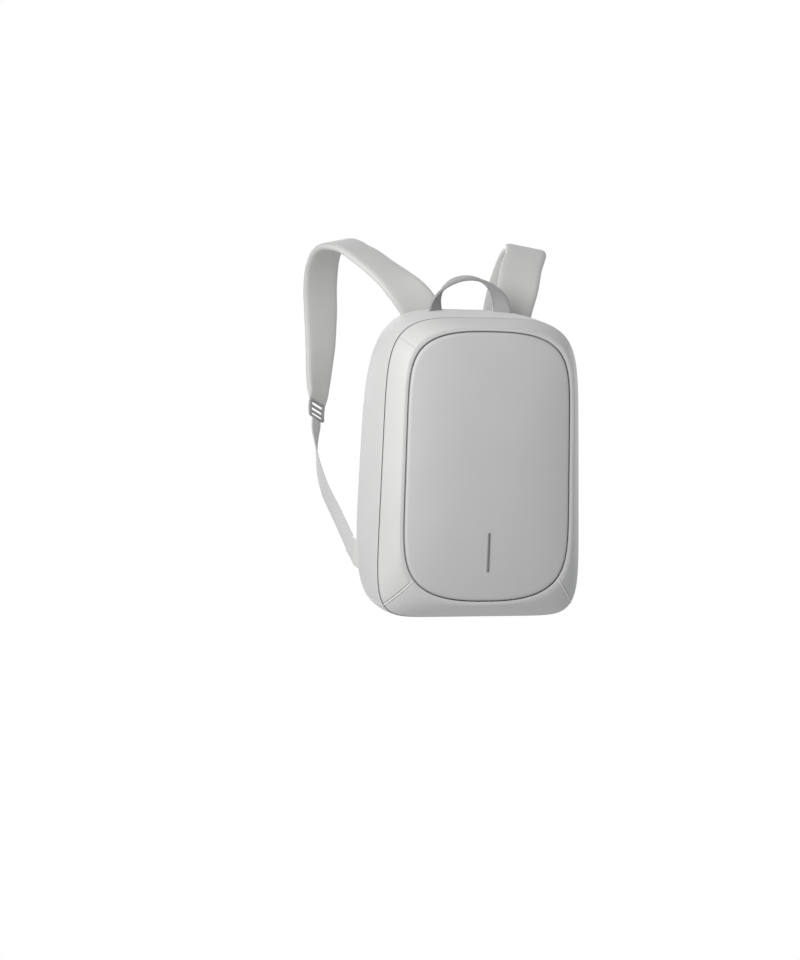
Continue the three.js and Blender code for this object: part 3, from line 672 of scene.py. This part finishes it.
def add_frame():
    """The frame's four stretches. A round welt stands between them at the lower corners."""
    half = 1.25
    table = [(i / 10, 0.95 * math.sqrt(max(0.0, 1 - (i / 5 - 1) ** 2)) - 0.3) for i in range(11)]
    for side, word in ((1, "right"), (-1, "left")):
        frame_piece("frame_" + word, mitre(LOWER_MITRE, half + 0.35), mitre(UPPER_MITRE, -0.05),
                    (WELT_TURN, FAINT_TURN), side)
        bm = new_bmesh()
        loft(bm, frame_rows(mitre(LOWER_MITRE, -half), mitre(LOWER_MITRE, half), [t[0] for t in table],
                            [t[1] for t in table], WELT_LIP))
        close_ends(bm)
        name = "corner_binding_" + word
        # The corner welt's lighter cloth is a painted highlight.
        place(bm, name + "_tape", [name], "frame_fabric", [welt_painted_highlight], side=side)
    upper = mitre(UPPER_MITRE, 0.05)
    frame_piece("frame_top", upper, over(upper), (FAINT_TURN, FAINT_TURN))
    lower = mitre(LOWER_MITRE, 0.3 - half)
    far = over(lower)
    frame_piece("frame_bottom", (far[0] - 360, far[1] - 360), lower, (FAINT_TURN, FAINT_TURN))


# ---- Side band ----
def band_section():
    """Share of the way from front seam to back edge, depth, and how far in from the outline."""
    front = [(0, 1.3, 3.5), (0, 1.3, 1.2), (0, 1.35, 0.35), (0.004, 1.6, 0.1), (0.012, 2.1, 0.0),
             (0.03, 3.2, -0.12)]
    shares = [0.04, 0.08, 0.14, 0.22, 0.32, 0.42, 0.52, 0.62, 0.72, 0.8, 0.87, 0.92]
    face = [(s, s * SIDE_DEPTH, -SIDE_BULGE * math.sin(math.pi * s)) for s in shares]
    roll = []
    for k in range(7):
        angle = math.radians(15 * k)
        roll.append((1, SIDE_DEPTH - EDGE_RADIUS * (1 - math.sin(angle)), EDGE_RADIUS * (1 - math.cos(angle))))
    inner = [(1, SIDE_DEPTH, BACK_EDGE), (1, SIDE_DEPTH - EDGE_RADIUS, BACK_EDGE), (0.85, SIDE_DEPTH * 0.85, 3.0),
             (0.45, SIDE_DEPTH * 0.45, 1.6), (0.02, 3.0, 4.0)]
    return front + face + roll + inner


def add_side_band():
    stations = even(360)
    rows = []
    for share, y, inset in band_section():
        seam, back = trace(SEAM, LOOP, stations, inset), trace(BACK, LOOP, stations, inset)
        rows.append(level([p.lerp(q, share) for p, q in zip(seam, back)], y))
    rows.append(rows[0])
    bm = new_bmesh()
    loft(bm, rows)
    # The seam's slot on the side band is given painted shade.
    paint_seam_slot_shade(bm, "row")
    place(bm, "side_band_cover", ["side_band"], "side_fabric", [side_cloth, seam_slot_painted_shade])


def band_spot(station, share, out):
    """A point of the band at a share of its outline and of its depth, this far out of its face."""
    inset = -SIDE_BULGE * math.sin(math.pi * share) - out
    p, q = (trace(spec, LOOP, [station], inset)[0] for spec in (SEAM, BACK))
    spot = p.lerp(q, share)
    return Vector((spot.x, share * SIDE_DEPTH, spot.y))


def add_band_welts():
    """The lower corners' welts run on along the side band to its back edge."""
    fine = fine_line("seam", LOOP, 0.0, BEND_WEIGHT)[1]
    corner = fine[round(FINE * (LOWER_MITRE[0] - LOOP[0]) / 360)] / fine[-1]
    wide = 1.2 / fine[-1]
    for side, word in ((1, "right"), (-1, "left")):
        rows = []
        for i in range(31):
            share = 0.016 + 0.93 * i / 30
            rows.append([band_spot(corner + wide * math.sin(math.pi * k / 8 - math.pi / 2), share,
                                   0.85 * math.cos(math.pi * k / 8 - math.pi / 2) - 0.2) for k in range(9)])
        bm = new_bmesh()
        loft(bm, rows)
        close_ends(bm)
        # The band welt's lighter cloth is a painted highlight.
        place(bm, "band_welt_" + word, [], "side_fabric", [welt_painted_highlight], side=side)


# ---- Closure ----
def closure_strip(bm, start, stop, count, outer, inner, material=0):
    low, high = SIDE_DEPTH + GAP - 0.6, SIDE_DEPTH + GAP + ZIP_WIDTH + 0.6
    corners = [(outer + 0.35, low), (outer, low + 0.5), (outer, high - 0.5), (outer + 0.35, high),
               (inner, high), (inner, low)]
    columns = [level(trace(BACK, (start, stop), even(count, closed=False), inset), y) for inset, y in corners]
    loft(bm, [[c[n] for c in columns] for n in range(count)], material=material)


def add_closure():
    start = further(BACK, ZIP_END, GAP / 2)
    stop = 180 - start
    bm = new_bmesh()
    closure_strip(bm, start, stop, 300, ZIP_INSET + 0.9, ZIP_INSET + ZIP_THICKNESS)
    close_ends(bm)
    middle = SIDE_DEPTH + GAP + ZIP_WIDTH / 2
    length = fine_line("back", (start, stop), ZIP_INSET + 0.6, 0.0)[1][-1]
    count = int(length / 2.0)
    path = trace(BACK, (start, stop), even(count, closed=False), ZIP_INSET + 0.6, bend_weight=0.0)

    def tooth(batch, k):
        run = Vector((path[k + 1].x - path[k - 1].x, 0.0, path[k + 1].y - path[k - 1].y)).normalized()
        out = run.cross(Vector((0.0, 1.0, 0.0)))
        lean = 0.25 if k % 2 else -0.25
        block(batch, (1.6, 2.7, 0.8), Vector((path[k].x, middle + lean, path[k].y)), axes(run, out),
              bevel=0.3, segments=1, material=1)

    in_batches(bm, range(1, len(path) - 1), tooth)
    place(bm, "zip_with_teeth", ["main_zip"], "zip", [zip_tape, zip_teeth], sharp=60)
    bm = new_bmesh()
    end = further(BACK, ZIP_END, -GAP / 2)
    closure_strip(bm, -180 - end, end, 120, ZIP_INSET, ZIP_INSET + ZIP_THICKNESS)
    close_ends(bm)
    place(bm, "hinge_cover", ["hinge_strip"], "side_fabric", [side_cloth], sharp=50)


def back_half_width(z, inset):
    """The back edge's half width at a height."""
    half = trace(BACK, (-90, 90), even(FINE), inset)
    k = next(i for i, p in enumerate(half) if p.y > z)
    return lerp(half[k - 1].x, half[k].x, (z - half[k - 1].y) / (half[k].y - half[k - 1].y))


def add_slider():
    at = Vector((back_half_width(SLIDER_UP, ZIP_INSET) + GAP, SIDE_DEPTH + GAP + ZIP_WIDTH / 2, SLIDER_UP))
    lean = math.atan2(back_half_width(SLIDER_UP, 0) - back_half_width(SLIDER_UP + 1, 0), 1)
    turn = Matrix.Translation(at) @ Matrix.Rotation(-lean, 4, "Y")
    bm = new_bmesh()
    block(bm, (2.6, 4.4, 9.0), Vector((1.0, 0, 4.5)), bevel=0.9, segments=3)
    block(bm, (3.4, 1.6, 5.0), Vector((3.0, 0, 4.6)), bevel=0.6, segments=3)
    block(bm, (1.7, 4.2, 27.0), Vector((5.1, 0, -6.5)), bevel=0.7, segments=3)
    block(bm, (2.1, 3.0, 2.2), Vector((4.4, 0, 5.4)), bevel=0.7, segments=3)
    bmesh.ops.transform(bm, matrix=turn, verts=bm.verts)
    place(bm, "slider_and_pull", ["zip_slider"], "plastic", [grey_plastic], sharp=60)


# ---- Back panel ----
def add_back_panel():
    stations = even(320)

    def ring(inset, y):
        return level(trace(BACK, LOOP, stations, inset), y)

    def inner(inset, y):
        return level(trace(RECESS, LOOP, stations, inset), y)

    floor = BACK_FACE - 4.2
    rows = []
    for inset, share in ((1.0, 0.0), (0.5, 0.1), (0.1, 0.3), (0.0, 0.5), (0.5, 0.7), (1.8, 0.86), (4.0, 0.96),
                         (8.0, 1.0)):
        rows.append(ring(BACK_RIM + inset, BACK_START + BACK_THICKNESS * share))
    rows += [inner(-10.0, BACK_FACE), inner(-4.0, BACK_FACE), inner(-1.4, BACK_FACE - 0.7),
             inner(-0.2, BACK_FACE - 2.0), inner(0.8, floor + 0.6), inner(3.0, floor)]
    middle = Vector((0.0, 200.0))
    rows.append(level([middle.copy() for _ in stations], floor))
    bm = new_bmesh()
    loft(bm, rows)
    under = [level([middle.copy() for _ in stations], BACK_START), ring(BACK_RIM + 1.0, BACK_START)]
    loft(bm, under)
    edge = trace(RECESS, LOOP, even(330), -5.5, bend_weight=0.0)
    places = []
    for k, p in enumerate(edge):
        q = edge[(k + 1) % len(edge)]
        places.append((Vector((p.x, BACK_FACE + 0.1, p.y)), Vector((q.x - p.x, 0, q.y - p.y)), Vector((0, 1, 0))))
    stitches(bm, places, 2.6, 0.8, 1)
    place(bm, "back_panel_base", ["back_panel"], "back_mesh", [back_mesh, thread], fill=0.4)
    add_back_pads(floor)


def add_back_pads(floor):
    """Two columns of crowned pads with an air channel between them."""
    for side, word in ((1, "right"), (-1, "left")):
        for row, (low, high, reach) in (("upper", (196.0, 354.0, 100.0)), ("lower", (46.0, 182.0, 102.0))):
            spec = dict(name=f"pad_{row}", half_width=(reach - 12.0) / 2, bottom=low, top=high, side_above=5.5, end_above=7.0,
                        side_below=5.5, end_below=7.0, taper=0.0)
            OUTLINES[spec["name"]] = spec
            stations = even(120)
            rows = []
            for inset, up in ((6.0, -1.0), (1.0, -1.0), (0.2, 0.0), (0.0, 1.0), (0.6, 2.4), (2.2, 3.7), (5.5, 4.9),
                              (11.0, 5.7), (19.0, 6.2), (30.0, 6.4)):
                points = trace(spec, LOOP, stations, inset)
                rows.append([Vector((p.x + reach / 2 + 6.0, floor + up, p.y)) for p in points])
            middle = Vector((reach / 2 + 6.0, floor - 1.0, (low + high) / 2))
            rows.insert(0, [middle.copy() for _ in stations])
            top = [middle + Vector((0, 7.5, 0)) for _ in stations]
            rows.append([p.lerp(q, 0.5) + Vector((0, 0.02, 0)) for p, q in zip(rows[-1], top)])
            rows.append(top)
            bm = new_bmesh()
            loft(bm, rows)
            place(bm, f"back_pad_{row}_{word}", [], "back_mesh", [back_mesh], side=side, fill=0.6)


# ---- Carry handle ----
def top_of_band(x, y):
    """Height of the bag's top between front seam and back edge."""
    share = y / SIDE_DEPTH
    inset = -SIDE_BULGE * math.sin(math.pi * share)
    heights = []
    for spec in (SEAM, BACK):
        low, high = 20.0, 90.0
        for _ in range(24):
            middle = (low + high) / 2
            low, high = (middle, high) if outline(spec, middle, inset).x > abs(x) else (low, middle)
        heights.append(outline(spec, high, inset).y)
    return lerp(*heights, share)


def handle_spot(angle, s, t):
    """A point of the handle, whose feet turn outward until they nearly face the front."""
    foot = top_of_band(HANDLE_SPAN / 2, HANDLE_BACK) + GAP
    crown = top_of_band(0, HANDLE_BACK) + HANDLE_RISE - HANDLE_THICKNESS / 2
    cos, sin = math.cos(angle), math.sin(angle)
    middle = Vector((cos * HANDLE_SPAN / 2, HANDLE_BACK, lerp(foot, crown, sin)))
    heading = Vector((sin * HANDLE_SPAN / 2, 0, -cos * (crown - foot))).normalized()
    turn = math.copysign(HANDLE_TURN * (1 - sin), cos)
    front = Vector((math.sin(turn), -math.cos(turn), -math.sin(HANDLE_TIP) * sin))
    front = (front - heading * front.dot(heading)).normalized()
    spot = middle + front * (s * HANDLE_WIDTH / 2) + front.cross(heading) * (t * HANDLE_THICKNESS / 2)
    spot.z += (top_of_band(spot.x, spot.y) + GAP - foot) * (1 - sin) - 1.4 * (1 - sin) ** 9
    return spot


def add_handle():
    steps = 72
    section = [(-1, 0), (-0.99, 0.5), (-0.95, 0.85), (-0.88, 1), (-0.5, 1), (0, 1), (0.5, 1), (0.88, 1), (0.95, 0.85),
               (0.99, 0.5), (1, 0), (0.99, -0.5), (0.95, -0.85), (0.88, -1), (0.5, -1), (0, -1), (-0.5, -1),
               (-0.88, -1), (-0.95, -0.85), (-0.99, -0.5)]
    rows = [[handle_spot(math.pi * (1 - i / steps), s, t) for s, t in section] for i in range(steps + 1)]
    bm = new_bmesh()
    loft(bm, rows)
    close_ends(bm)
    places = []
    for s in (-0.8, 0.8):
        for t in (-1.05, 1.05):
            for i in range(3, 62):
                angle = math.pi * (1 - i / 64)
                here, ahead, across = (handle_spot(a, b, t) for a, b in
                                       ((angle, s), (angle - 0.01, s), (angle, s - 0.1)))
                places.append((here, ahead - here, (ahead - here).cross(across - here) * t))
    stitches(bm, places, 1.9, 0.7, 1)
    place(bm, "woven_handle", ["carry_handle"], "handle_webbing", [handle_cloth, dark_thread])


# ---- Shoulder straps ----
# Right strap from its root on the back panel over the shoulder and down the chest: shares of the shoulder's
# reach, of the torso's depth and of the bag's height, tilt in degrees, share of the strap's width, and share
# of the lean that both straps have to the right near their roots.
STRAP_ROUTE = [
    (0.44, 0.0, 0.902, 0, 0.96, 1), (0.447, 0.0, 0.96, 0, 0.98, 1), (0.487, 0.006, 1.033, 0, 1.0, 0.92),
    (0.613, 0.062, 1.11, 3, 1.0, 0.42), (0.76, 0.2, 1.179, 6, 1.0, 0), (0.913, 0.38, 1.234, 3, 1.0, 0),
    (1.013, 0.593, 1.251, -14, 1.0, 0), (1.04, 0.776, 1.204, -22, 0.99, 0), (1.015, 0.902, 1.112, -18, 0.97, 0),
    (0.98, 0.956, 1.004, -15, 0.93, 0), (0.973, 0.964, 0.893, -18, 0.87, 0), (1.0, 0.935, 0.786, -28, 0.8, 0),
    (1.04, 0.866, 0.693, -42, 0.7, 0),
]
STRAP_FACE = [(-1.0, 0.0), (-0.985, 0.32), (-0.95, 0.58), (-0.895, 0.78), (-0.82, 0.91), (-0.72, 0.97),
              (-0.5, 0.99), (-0.25, 1.0), (0.0, 1.0)]


def strap_route(lean_side):
    """The right strap's middle line. The left one is made on the right with its lean turned, and mirrored."""
    seat = BACK_FACE + GAP + STRAP_THICKNESS / 2
    return Route([Vector((out * SHOULDER_OUT + lean_side * lean * STRAP_LEAN, seat + behind * TORSO_DEPTH,
                          up * BAG_HEIGHT)) for out, behind, up, _, _, lean in STRAP_ROUTE])


def strap_axes(route, share):
    """Middle of the strap at a share of its way, with its run, its side, its face and its half width."""
    heading = route.heading(share)
    side = Vector((1, 0, 0)) - heading * heading.x
    side.normalize()
    side.rotate(Matrix.Rotation(math.radians(-column([r[3] for r in STRAP_ROUTE], share)), 3, heading))
    wide = column([r[4] for r in STRAP_ROUTE], share) * STRAP_WIDTH / 2
    return route.at(share), heading, side, side.cross(heading), wide


def strap_section():
    face = STRAP_FACE + [(-s, t) for s, t in reversed(STRAP_FACE[:-1])]
    return face + [(s, -t) for s, t in reversed(face[1:-1])]


def strap_spot(route, share, s, t):
    centre, heading, side, face, wide = strap_axes(route, share)
    ends = min(1.0, 0.35 + share * 24, 0.4 + (1 - share) * 22)
    return centre + side * (s * wide) + face * (t * ends * STRAP_THICKNESS / 2)


def add_straps():
    """Padded straps with rounded edges, sewn flat and stitched across at their roots and ends."""
    steps = 150
    section = strap_section()
    for side, word in ((1, "right"), (-1, "left")):
        route = strap_route(side)
        rows = [[strap_spot(route, i / steps, s, t) for s, t in section] for i in range(steps + 1)]
        bm = new_bmesh()
        loft(bm, rows)
        close_ends(bm)
        places = []
        for share in (0.008, 0.02, 0.978, 0.99):
            for t in (-1.02, 1.02):
                for i in range(17):
                    s = -0.85 + 1.7 * i / 16
                    here, ahead = strap_spot(route, share, s, t), strap_spot(route, share, s + 0.05, t)
                    places.append((here, ahead - here, strap_axes(route, share)[3] * t))
        stitches(bm, places, 2.2, 0.75, 1)
        name = "shoulder_strap_" + word
        place(bm, "padded_" + name, [name], "strap_fabric", [strap_cloth, thread], side=side, fill=0.8)


# ---- Buckles, webbing and wing tabs ----
def past_strap(distance):
    centre, heading, side, face, _ = strap_axes(strap_route(1), 1.0)
    return centre + heading * distance, heading, side, face


def add_buckles():
    """A ladder lock: a rounded frame with two bars across it, bent a little over its middle."""
    at, heading, side, face = past_strap(GAP + BUCKLE_LENGTH / 2)
    turn = Matrix((side, heading, face)).transposed().to_4x4()
    turn.translation = at
    xs = [-20.0, -14.5, 14.5, 20.0]
    ys = [-14.0, -10.5, -5.5, -2.0, 3.0, 6.5, 11.0, 14.0]
    for mirror, word in ((1, "right"), (-1, "left")):
        bm = new_bmesh()
        bmesh.ops.create_grid(bm, x_segments=len(xs) - 1, y_segments=len(ys) - 1, size=1.0)
        for v in bm.verts:
            v.co.x = xs[round((v.co.x + 1) / 2 * (len(xs) - 1))]
            v.co.y = ys[round((v.co.y + 1) / 2 * (len(ys) - 1))]
        slots = []
        for f in bm.faces:
            c = f.calc_center_median()
            row = next(i for i in range(len(ys) - 1) if ys[i] < c.y < ys[i + 1])
            if abs(c.x) < 14 and row in (1, 3, 5):
                slots.append(f)
        bmesh.ops.delete(bm, geom=slots, context="FACES_ONLY")
        corners = [v for v in bm.verts if abs(v.co.x) > 19 and abs(v.co.y) > 13]
        bmesh.ops.bevel(bm, geom=corners, offset=5.0, segments=5, profile=0.5, affect="VERTICES", material=-1)
        made = bmesh.ops.extrude_face_region(bm, geom=bm.faces[:])["geom"]
        lifted = [g for g in made if isinstance(g, bmesh.types.BMVert)]
        bmesh.ops.translate(bm, vec=(0, 0, 3.6), verts=lifted)
        bmesh.ops.translate(bm, vec=(0, 0, -1.8), verts=bm.verts)
        bmesh.ops.recalc_face_normals(bm, faces=bm.faces)
        rims = [e for e in bm.edges if len(e.link_faces) == 2 and e.calc_face_angle(0) > math.radians(40)]
        bmesh.ops.bevel(bm, geom=rims, offset=0.9, segments=3, profile=0.5, affect="EDGES", material=-1)
        for v in bm.verts:
            v.co.z += 1.1 * math.cos(v.co.y / 14.0 * math.pi / 2) - 0.5
        bmesh.ops.transform(bm, matrix=turn, verts=bm.verts)
        name = "strap_buckle_" + word
        place(bm, name + "_lock", [name], "plastic", [grey_plastic], side=mirror, sharp=50)


def tab_face():
    low = back_half_width(TAB_UP - TAB_HEIGHT / 2, 0)
    high = back_half_width(TAB_UP + TAB_HEIGHT / 2, 0)
    return max(low, high) + GAP


def tab_end():
    """Where the webbing leaves the tab."""
    return Vector((tab_face() + TAB_THICKNESS / 2, BACK_START + (TAB_REACH + GAP) * math.cos(TAB_SLOPE),
                   TAB_UP + TAB_HEIGHT / 4 + (TAB_REACH + GAP) * math.sin(TAB_SLOPE) - WEBBING_WIDTH / 4))


# Lower webbing from the wing tab forward under the arm: shares of the bag's half width, of the torso's depth
# and of the bag's height, and the turn of its face from the side to the chest.
WEBBING_ROUTE = [(1.084, 0.327, 0.321, -22), (1.104, 0.543, 0.395, -12), (1.104, 0.714, 0.479, 8),
                 (1.09, 0.808, 0.565, 32)]


def add_webbing():
    start = tab_end()
    lead = Vector((0.0, math.cos(TAB_SLOPE), math.sin(TAB_SLOPE)))
    end, heading, _, _ = past_strap(BUCKLE_LENGTH + 2 * GAP)
    middle = [Vector((out * BAG_HALF_WIDTH, BACK_FACE + behind * TORSO_DEPTH, up * BAG_HEIGHT))
              for out, behind, up, _ in WEBBING_ROUTE]
    route = Route([start, start + lead * WEBBING_LEAD, *middle, end + heading * WEBBING_LEAD, end])
    turns = [-25, -26, *(r[3] for r in WEBBING_ROUTE), 48, 48]
    section = [(-1, 0), (-0.99, 0.6), (-0.95, 1), (-0.5, 1), (0, 1), (0.5, 1), (0.95, 1), (0.99, 0.6),
               (1, 0), (0.99, -0.6), (0.95, -1), (0.5, -1), (0, -1), (-0.5, -1), (-0.95, -1), (-0.99, -0.6)]
    steps = 110
    for side, word in ((1, "right"), (-1, "left")):
        rows = []
        for i in range(steps + 1):
            share = i / steps
            run = route.heading(share)
            turn = math.radians(column(turns, share))
            face = Vector((math.cos(turn), math.sin(turn), 0.0))
            face = (face - run * face.dot(run)).normalized()
            cross = run.cross(face)
            rows.append([route.at(share) + cross * (s * WEBBING_WIDTH / 2) + face * (t * WEBBING_THICKNESS / 2)
                         for s, t in section])
        bm = new_bmesh()
        loft(bm, rows)
        close_ends(bm)
        name = "lower_webbing_" + word
        place(bm, "woven_" + name, [name], "webbing", [webbing_cloth], side=side)


def band_half_width(y, z):
    """The side band's half width at a depth and a height."""
    share = y / SIDE_DEPTH
    inset = -SIDE_BULGE * math.sin(math.pi * share)
    widths = []
    for spec in (SEAM, BACK):
        low, high = -89.0, 0.0
        for _ in range(24):
            middle = (low + high) / 2
            low, high = (middle, high) if outline(spec, middle, inset).y < z else (low, middle)
        widths.append(outline(spec, high, inset).x)
    return lerp(*widths, min(1.0, share))


def tab_spot(t, s, h):
    """A point of a wing tab: t runs from the side band to the webbing, s from its lower edge to its upper
    one, and h from its inner face to its outer one."""
    end, inner = tab_end(), tab_face()
    dy, dz = math.cos(TAB_SLOPE), math.sin(TAB_SLOPE)
    root_y, root_z = SIDE_DEPTH - TAB_LAP, TAB_UP + s * (TAB_HEIGHT / 2 + 1.0)
    end_y, end_z = end.y - s * WEBBING_WIDTH * dz / 2, end.z + s * (WEBBING_WIDTH + 1.0) * dy / 2
    y, z = lerp(root_y, end_y, t), lerp(root_z, end_z, t)
    rise = min(1.0, max(0.0, (y - root_y) / TAB_LAP))
    rise = rise * rise * (3 - 2 * rise)
    skin = band_half_width(min(y, SIDE_DEPTH), z)
    low, high = lerp(skin - 2.5, inner, rise), lerp(skin - 0.5, inner + TAB_THICKNESS, rise)
    return Vector((lerp(low, high, h) - s * TAB_TWIST * t * t, y, z))


# The hem at the tab's end: shares of its length, and how thick it is there.
TAB_HEM = [(0.89, 0.97), (0.9, 0.76), (0.91, 0.97), (0.925, 1.08), (0.975, 1.06), (0.99, 0.95), (1.0, 0.7)]


def add_wing_tabs():
    """Tabs of the side fabric that grow out of the band and narrow to the webbing, which they hold."""
    face = [(-1, 0.5), (-0.985, 0.8), (-0.94, 0.96), (-0.85, 1.0)]
    face += [(s, 1.0) for s in (-0.5, 0.0, 0.5)] + [(-s, h) for s, h in reversed(face)]
    section = face + [(s, 1 - h) for s, h in reversed(face[1:-1])]
    for side, word in ((1, "right"), (-1, "left")):
        rows = []
        for t, thick in [(i / 36, 1.0) for i in range(33)] + TAB_HEM:
            rows.append([tab_spot(t, s, 0.5 + (h - 0.5) * thick) for s, h in section])
        bm = new_bmesh()
        loft(bm, rows)
        close_ends(bm)
        places = []
        for i in range(9):
            here, ahead = tab_spot(0.84, -0.8 + 0.2 * i, 1.02), tab_spot(0.84, -0.75 + 0.2 * i, 1.02)
            places.append((here, ahead - here, Vector((1, 0, 0))))
        stitches(bm, places, 2.0, 0.7, 1)
        name = "wing_tab_" + word
        place(bm, "sewn_" + name, [name], "side_fabric", [side_cloth, thread], side=side)


add_front_panel()
add_light_bar()
add_bead()
add_frame()
add_side_band()
add_band_welts()
add_closure()
add_slider()
add_back_panel()
add_handle()
add_straps()
add_buckles()
add_webbing()
add_wing_tabs()


# ---- Stage and light ----
def add_floor():
    """A pale round floor that fades out into the pale backdrop."""
    bm = bmesh.new()
    bmesh.ops.create_circle(bm, cap_ends=True, segments=96, radius=4.0)
    bmesh.ops.translate(bm, vec=(0.0, 0.0, -1.35), verts=bm.verts)
    mesh = bpy.data.meshes.new("floor")
    bm.to_mesh(mesh)
    bm.free()
    material, shader = start_material("floor_paint", 0.8)
    shader.inputs["Base Color"].default_value = (0.82, 0.82, 0.82, 1.0)
    wires = Wires(material)
    spot = wires.node("TexCoord").outputs["Object"]
    flat = wires.node("VectorMath", {0: spot, 1: (1.0, 1.0, 0.0)}, operation="MULTIPLY").outputs[0]
    away = wires.node("VectorMath", {0: flat}, operation="LENGTH").outputs["Value"]
    fade = wires.node("MapRange", {"Value": away, 1: 0.5, 2: 1.7}, interpolation_type="SMOOTHSTEP").outputs[0]
    clear = wires.node("BsdfTransparent").outputs[0]
    mixed = wires.node("MixShader", {0: fade, 1: shader.outputs[0], 2: clear}).outputs[0]
    wires.join(mixed, material.node_tree.nodes["Material Output"].inputs["Surface"])
    mesh.materials.append(material)
    floor = bpy.data.objects.new("floor", mesh)
    bpy.context.scene.collection.objects.link(floor)


def add_area_light(name, at, size, power):
    data = bpy.data.lights.new(name, "AREA")
    data.shape = "DISK"
    data.size = size
    data.energy = power
    lamp = bpy.data.objects.new(name, data)
    lamp.location = at
    lamp.rotation_euler = (CENTRE - Vector(at)).to_track_quat("-Z", "Y").to_euler()
    lamp.visible_camera = False
    bpy.context.scene.collection.objects.link(lamp)


def add_world():
    """A white backdrop to look at, and a softer pale light from all round."""
    world = bpy.data.worlds.new("studio")
    world.use_nodes = True
    bpy.context.scene.world = world
    nodes, links = world.node_tree.nodes, world.node_tree.links
    around = nodes["Background"]
    around.inputs["Color"].default_value = (0.97, 0.985, 1.0, 1.0)
    around.inputs["Strength"].default_value = 0.53
    seen = nodes.new("ShaderNodeBackground")
    seen.inputs["Color"].default_value = (1.0, 1.0, 1.0, 1.0)
    path = nodes.new("ShaderNodeLightPath")
    mix = nodes.new("ShaderNodeMixShader")
    links.new(path.outputs["Is Camera Ray"], mix.inputs[0])
    links.new(around.outputs[0], mix.inputs[1])
    links.new(seen.outputs[0], mix.inputs[2])
    links.new(mix.outputs[0], nodes["World Output"].inputs["Surface"])


add_floor()
add_world()
add_area_light("key", (-0.95, -1.05, 0.35), 0.8, 14.6)
add_area_light("side", (-1.5, -0.5, 0.3), 0.9, 9.8)
add_area_light("top", (-0.2, -0.8, 1.6), 1.2, 2.9)
add_area_light("low", (-0.3, -1.7, -1.0), 1.0, 1.4)
add_area_light("back", (0.05, 1.45, 0.02), 0.9, 16.0)
add_area_light("back_right", (1.6, 0.9, 0.0), 0.9, 3.5)
bpy.context.scene.view_settings.view_transform = "Standard"
bpy.context.scene.view_settings.look = "None"
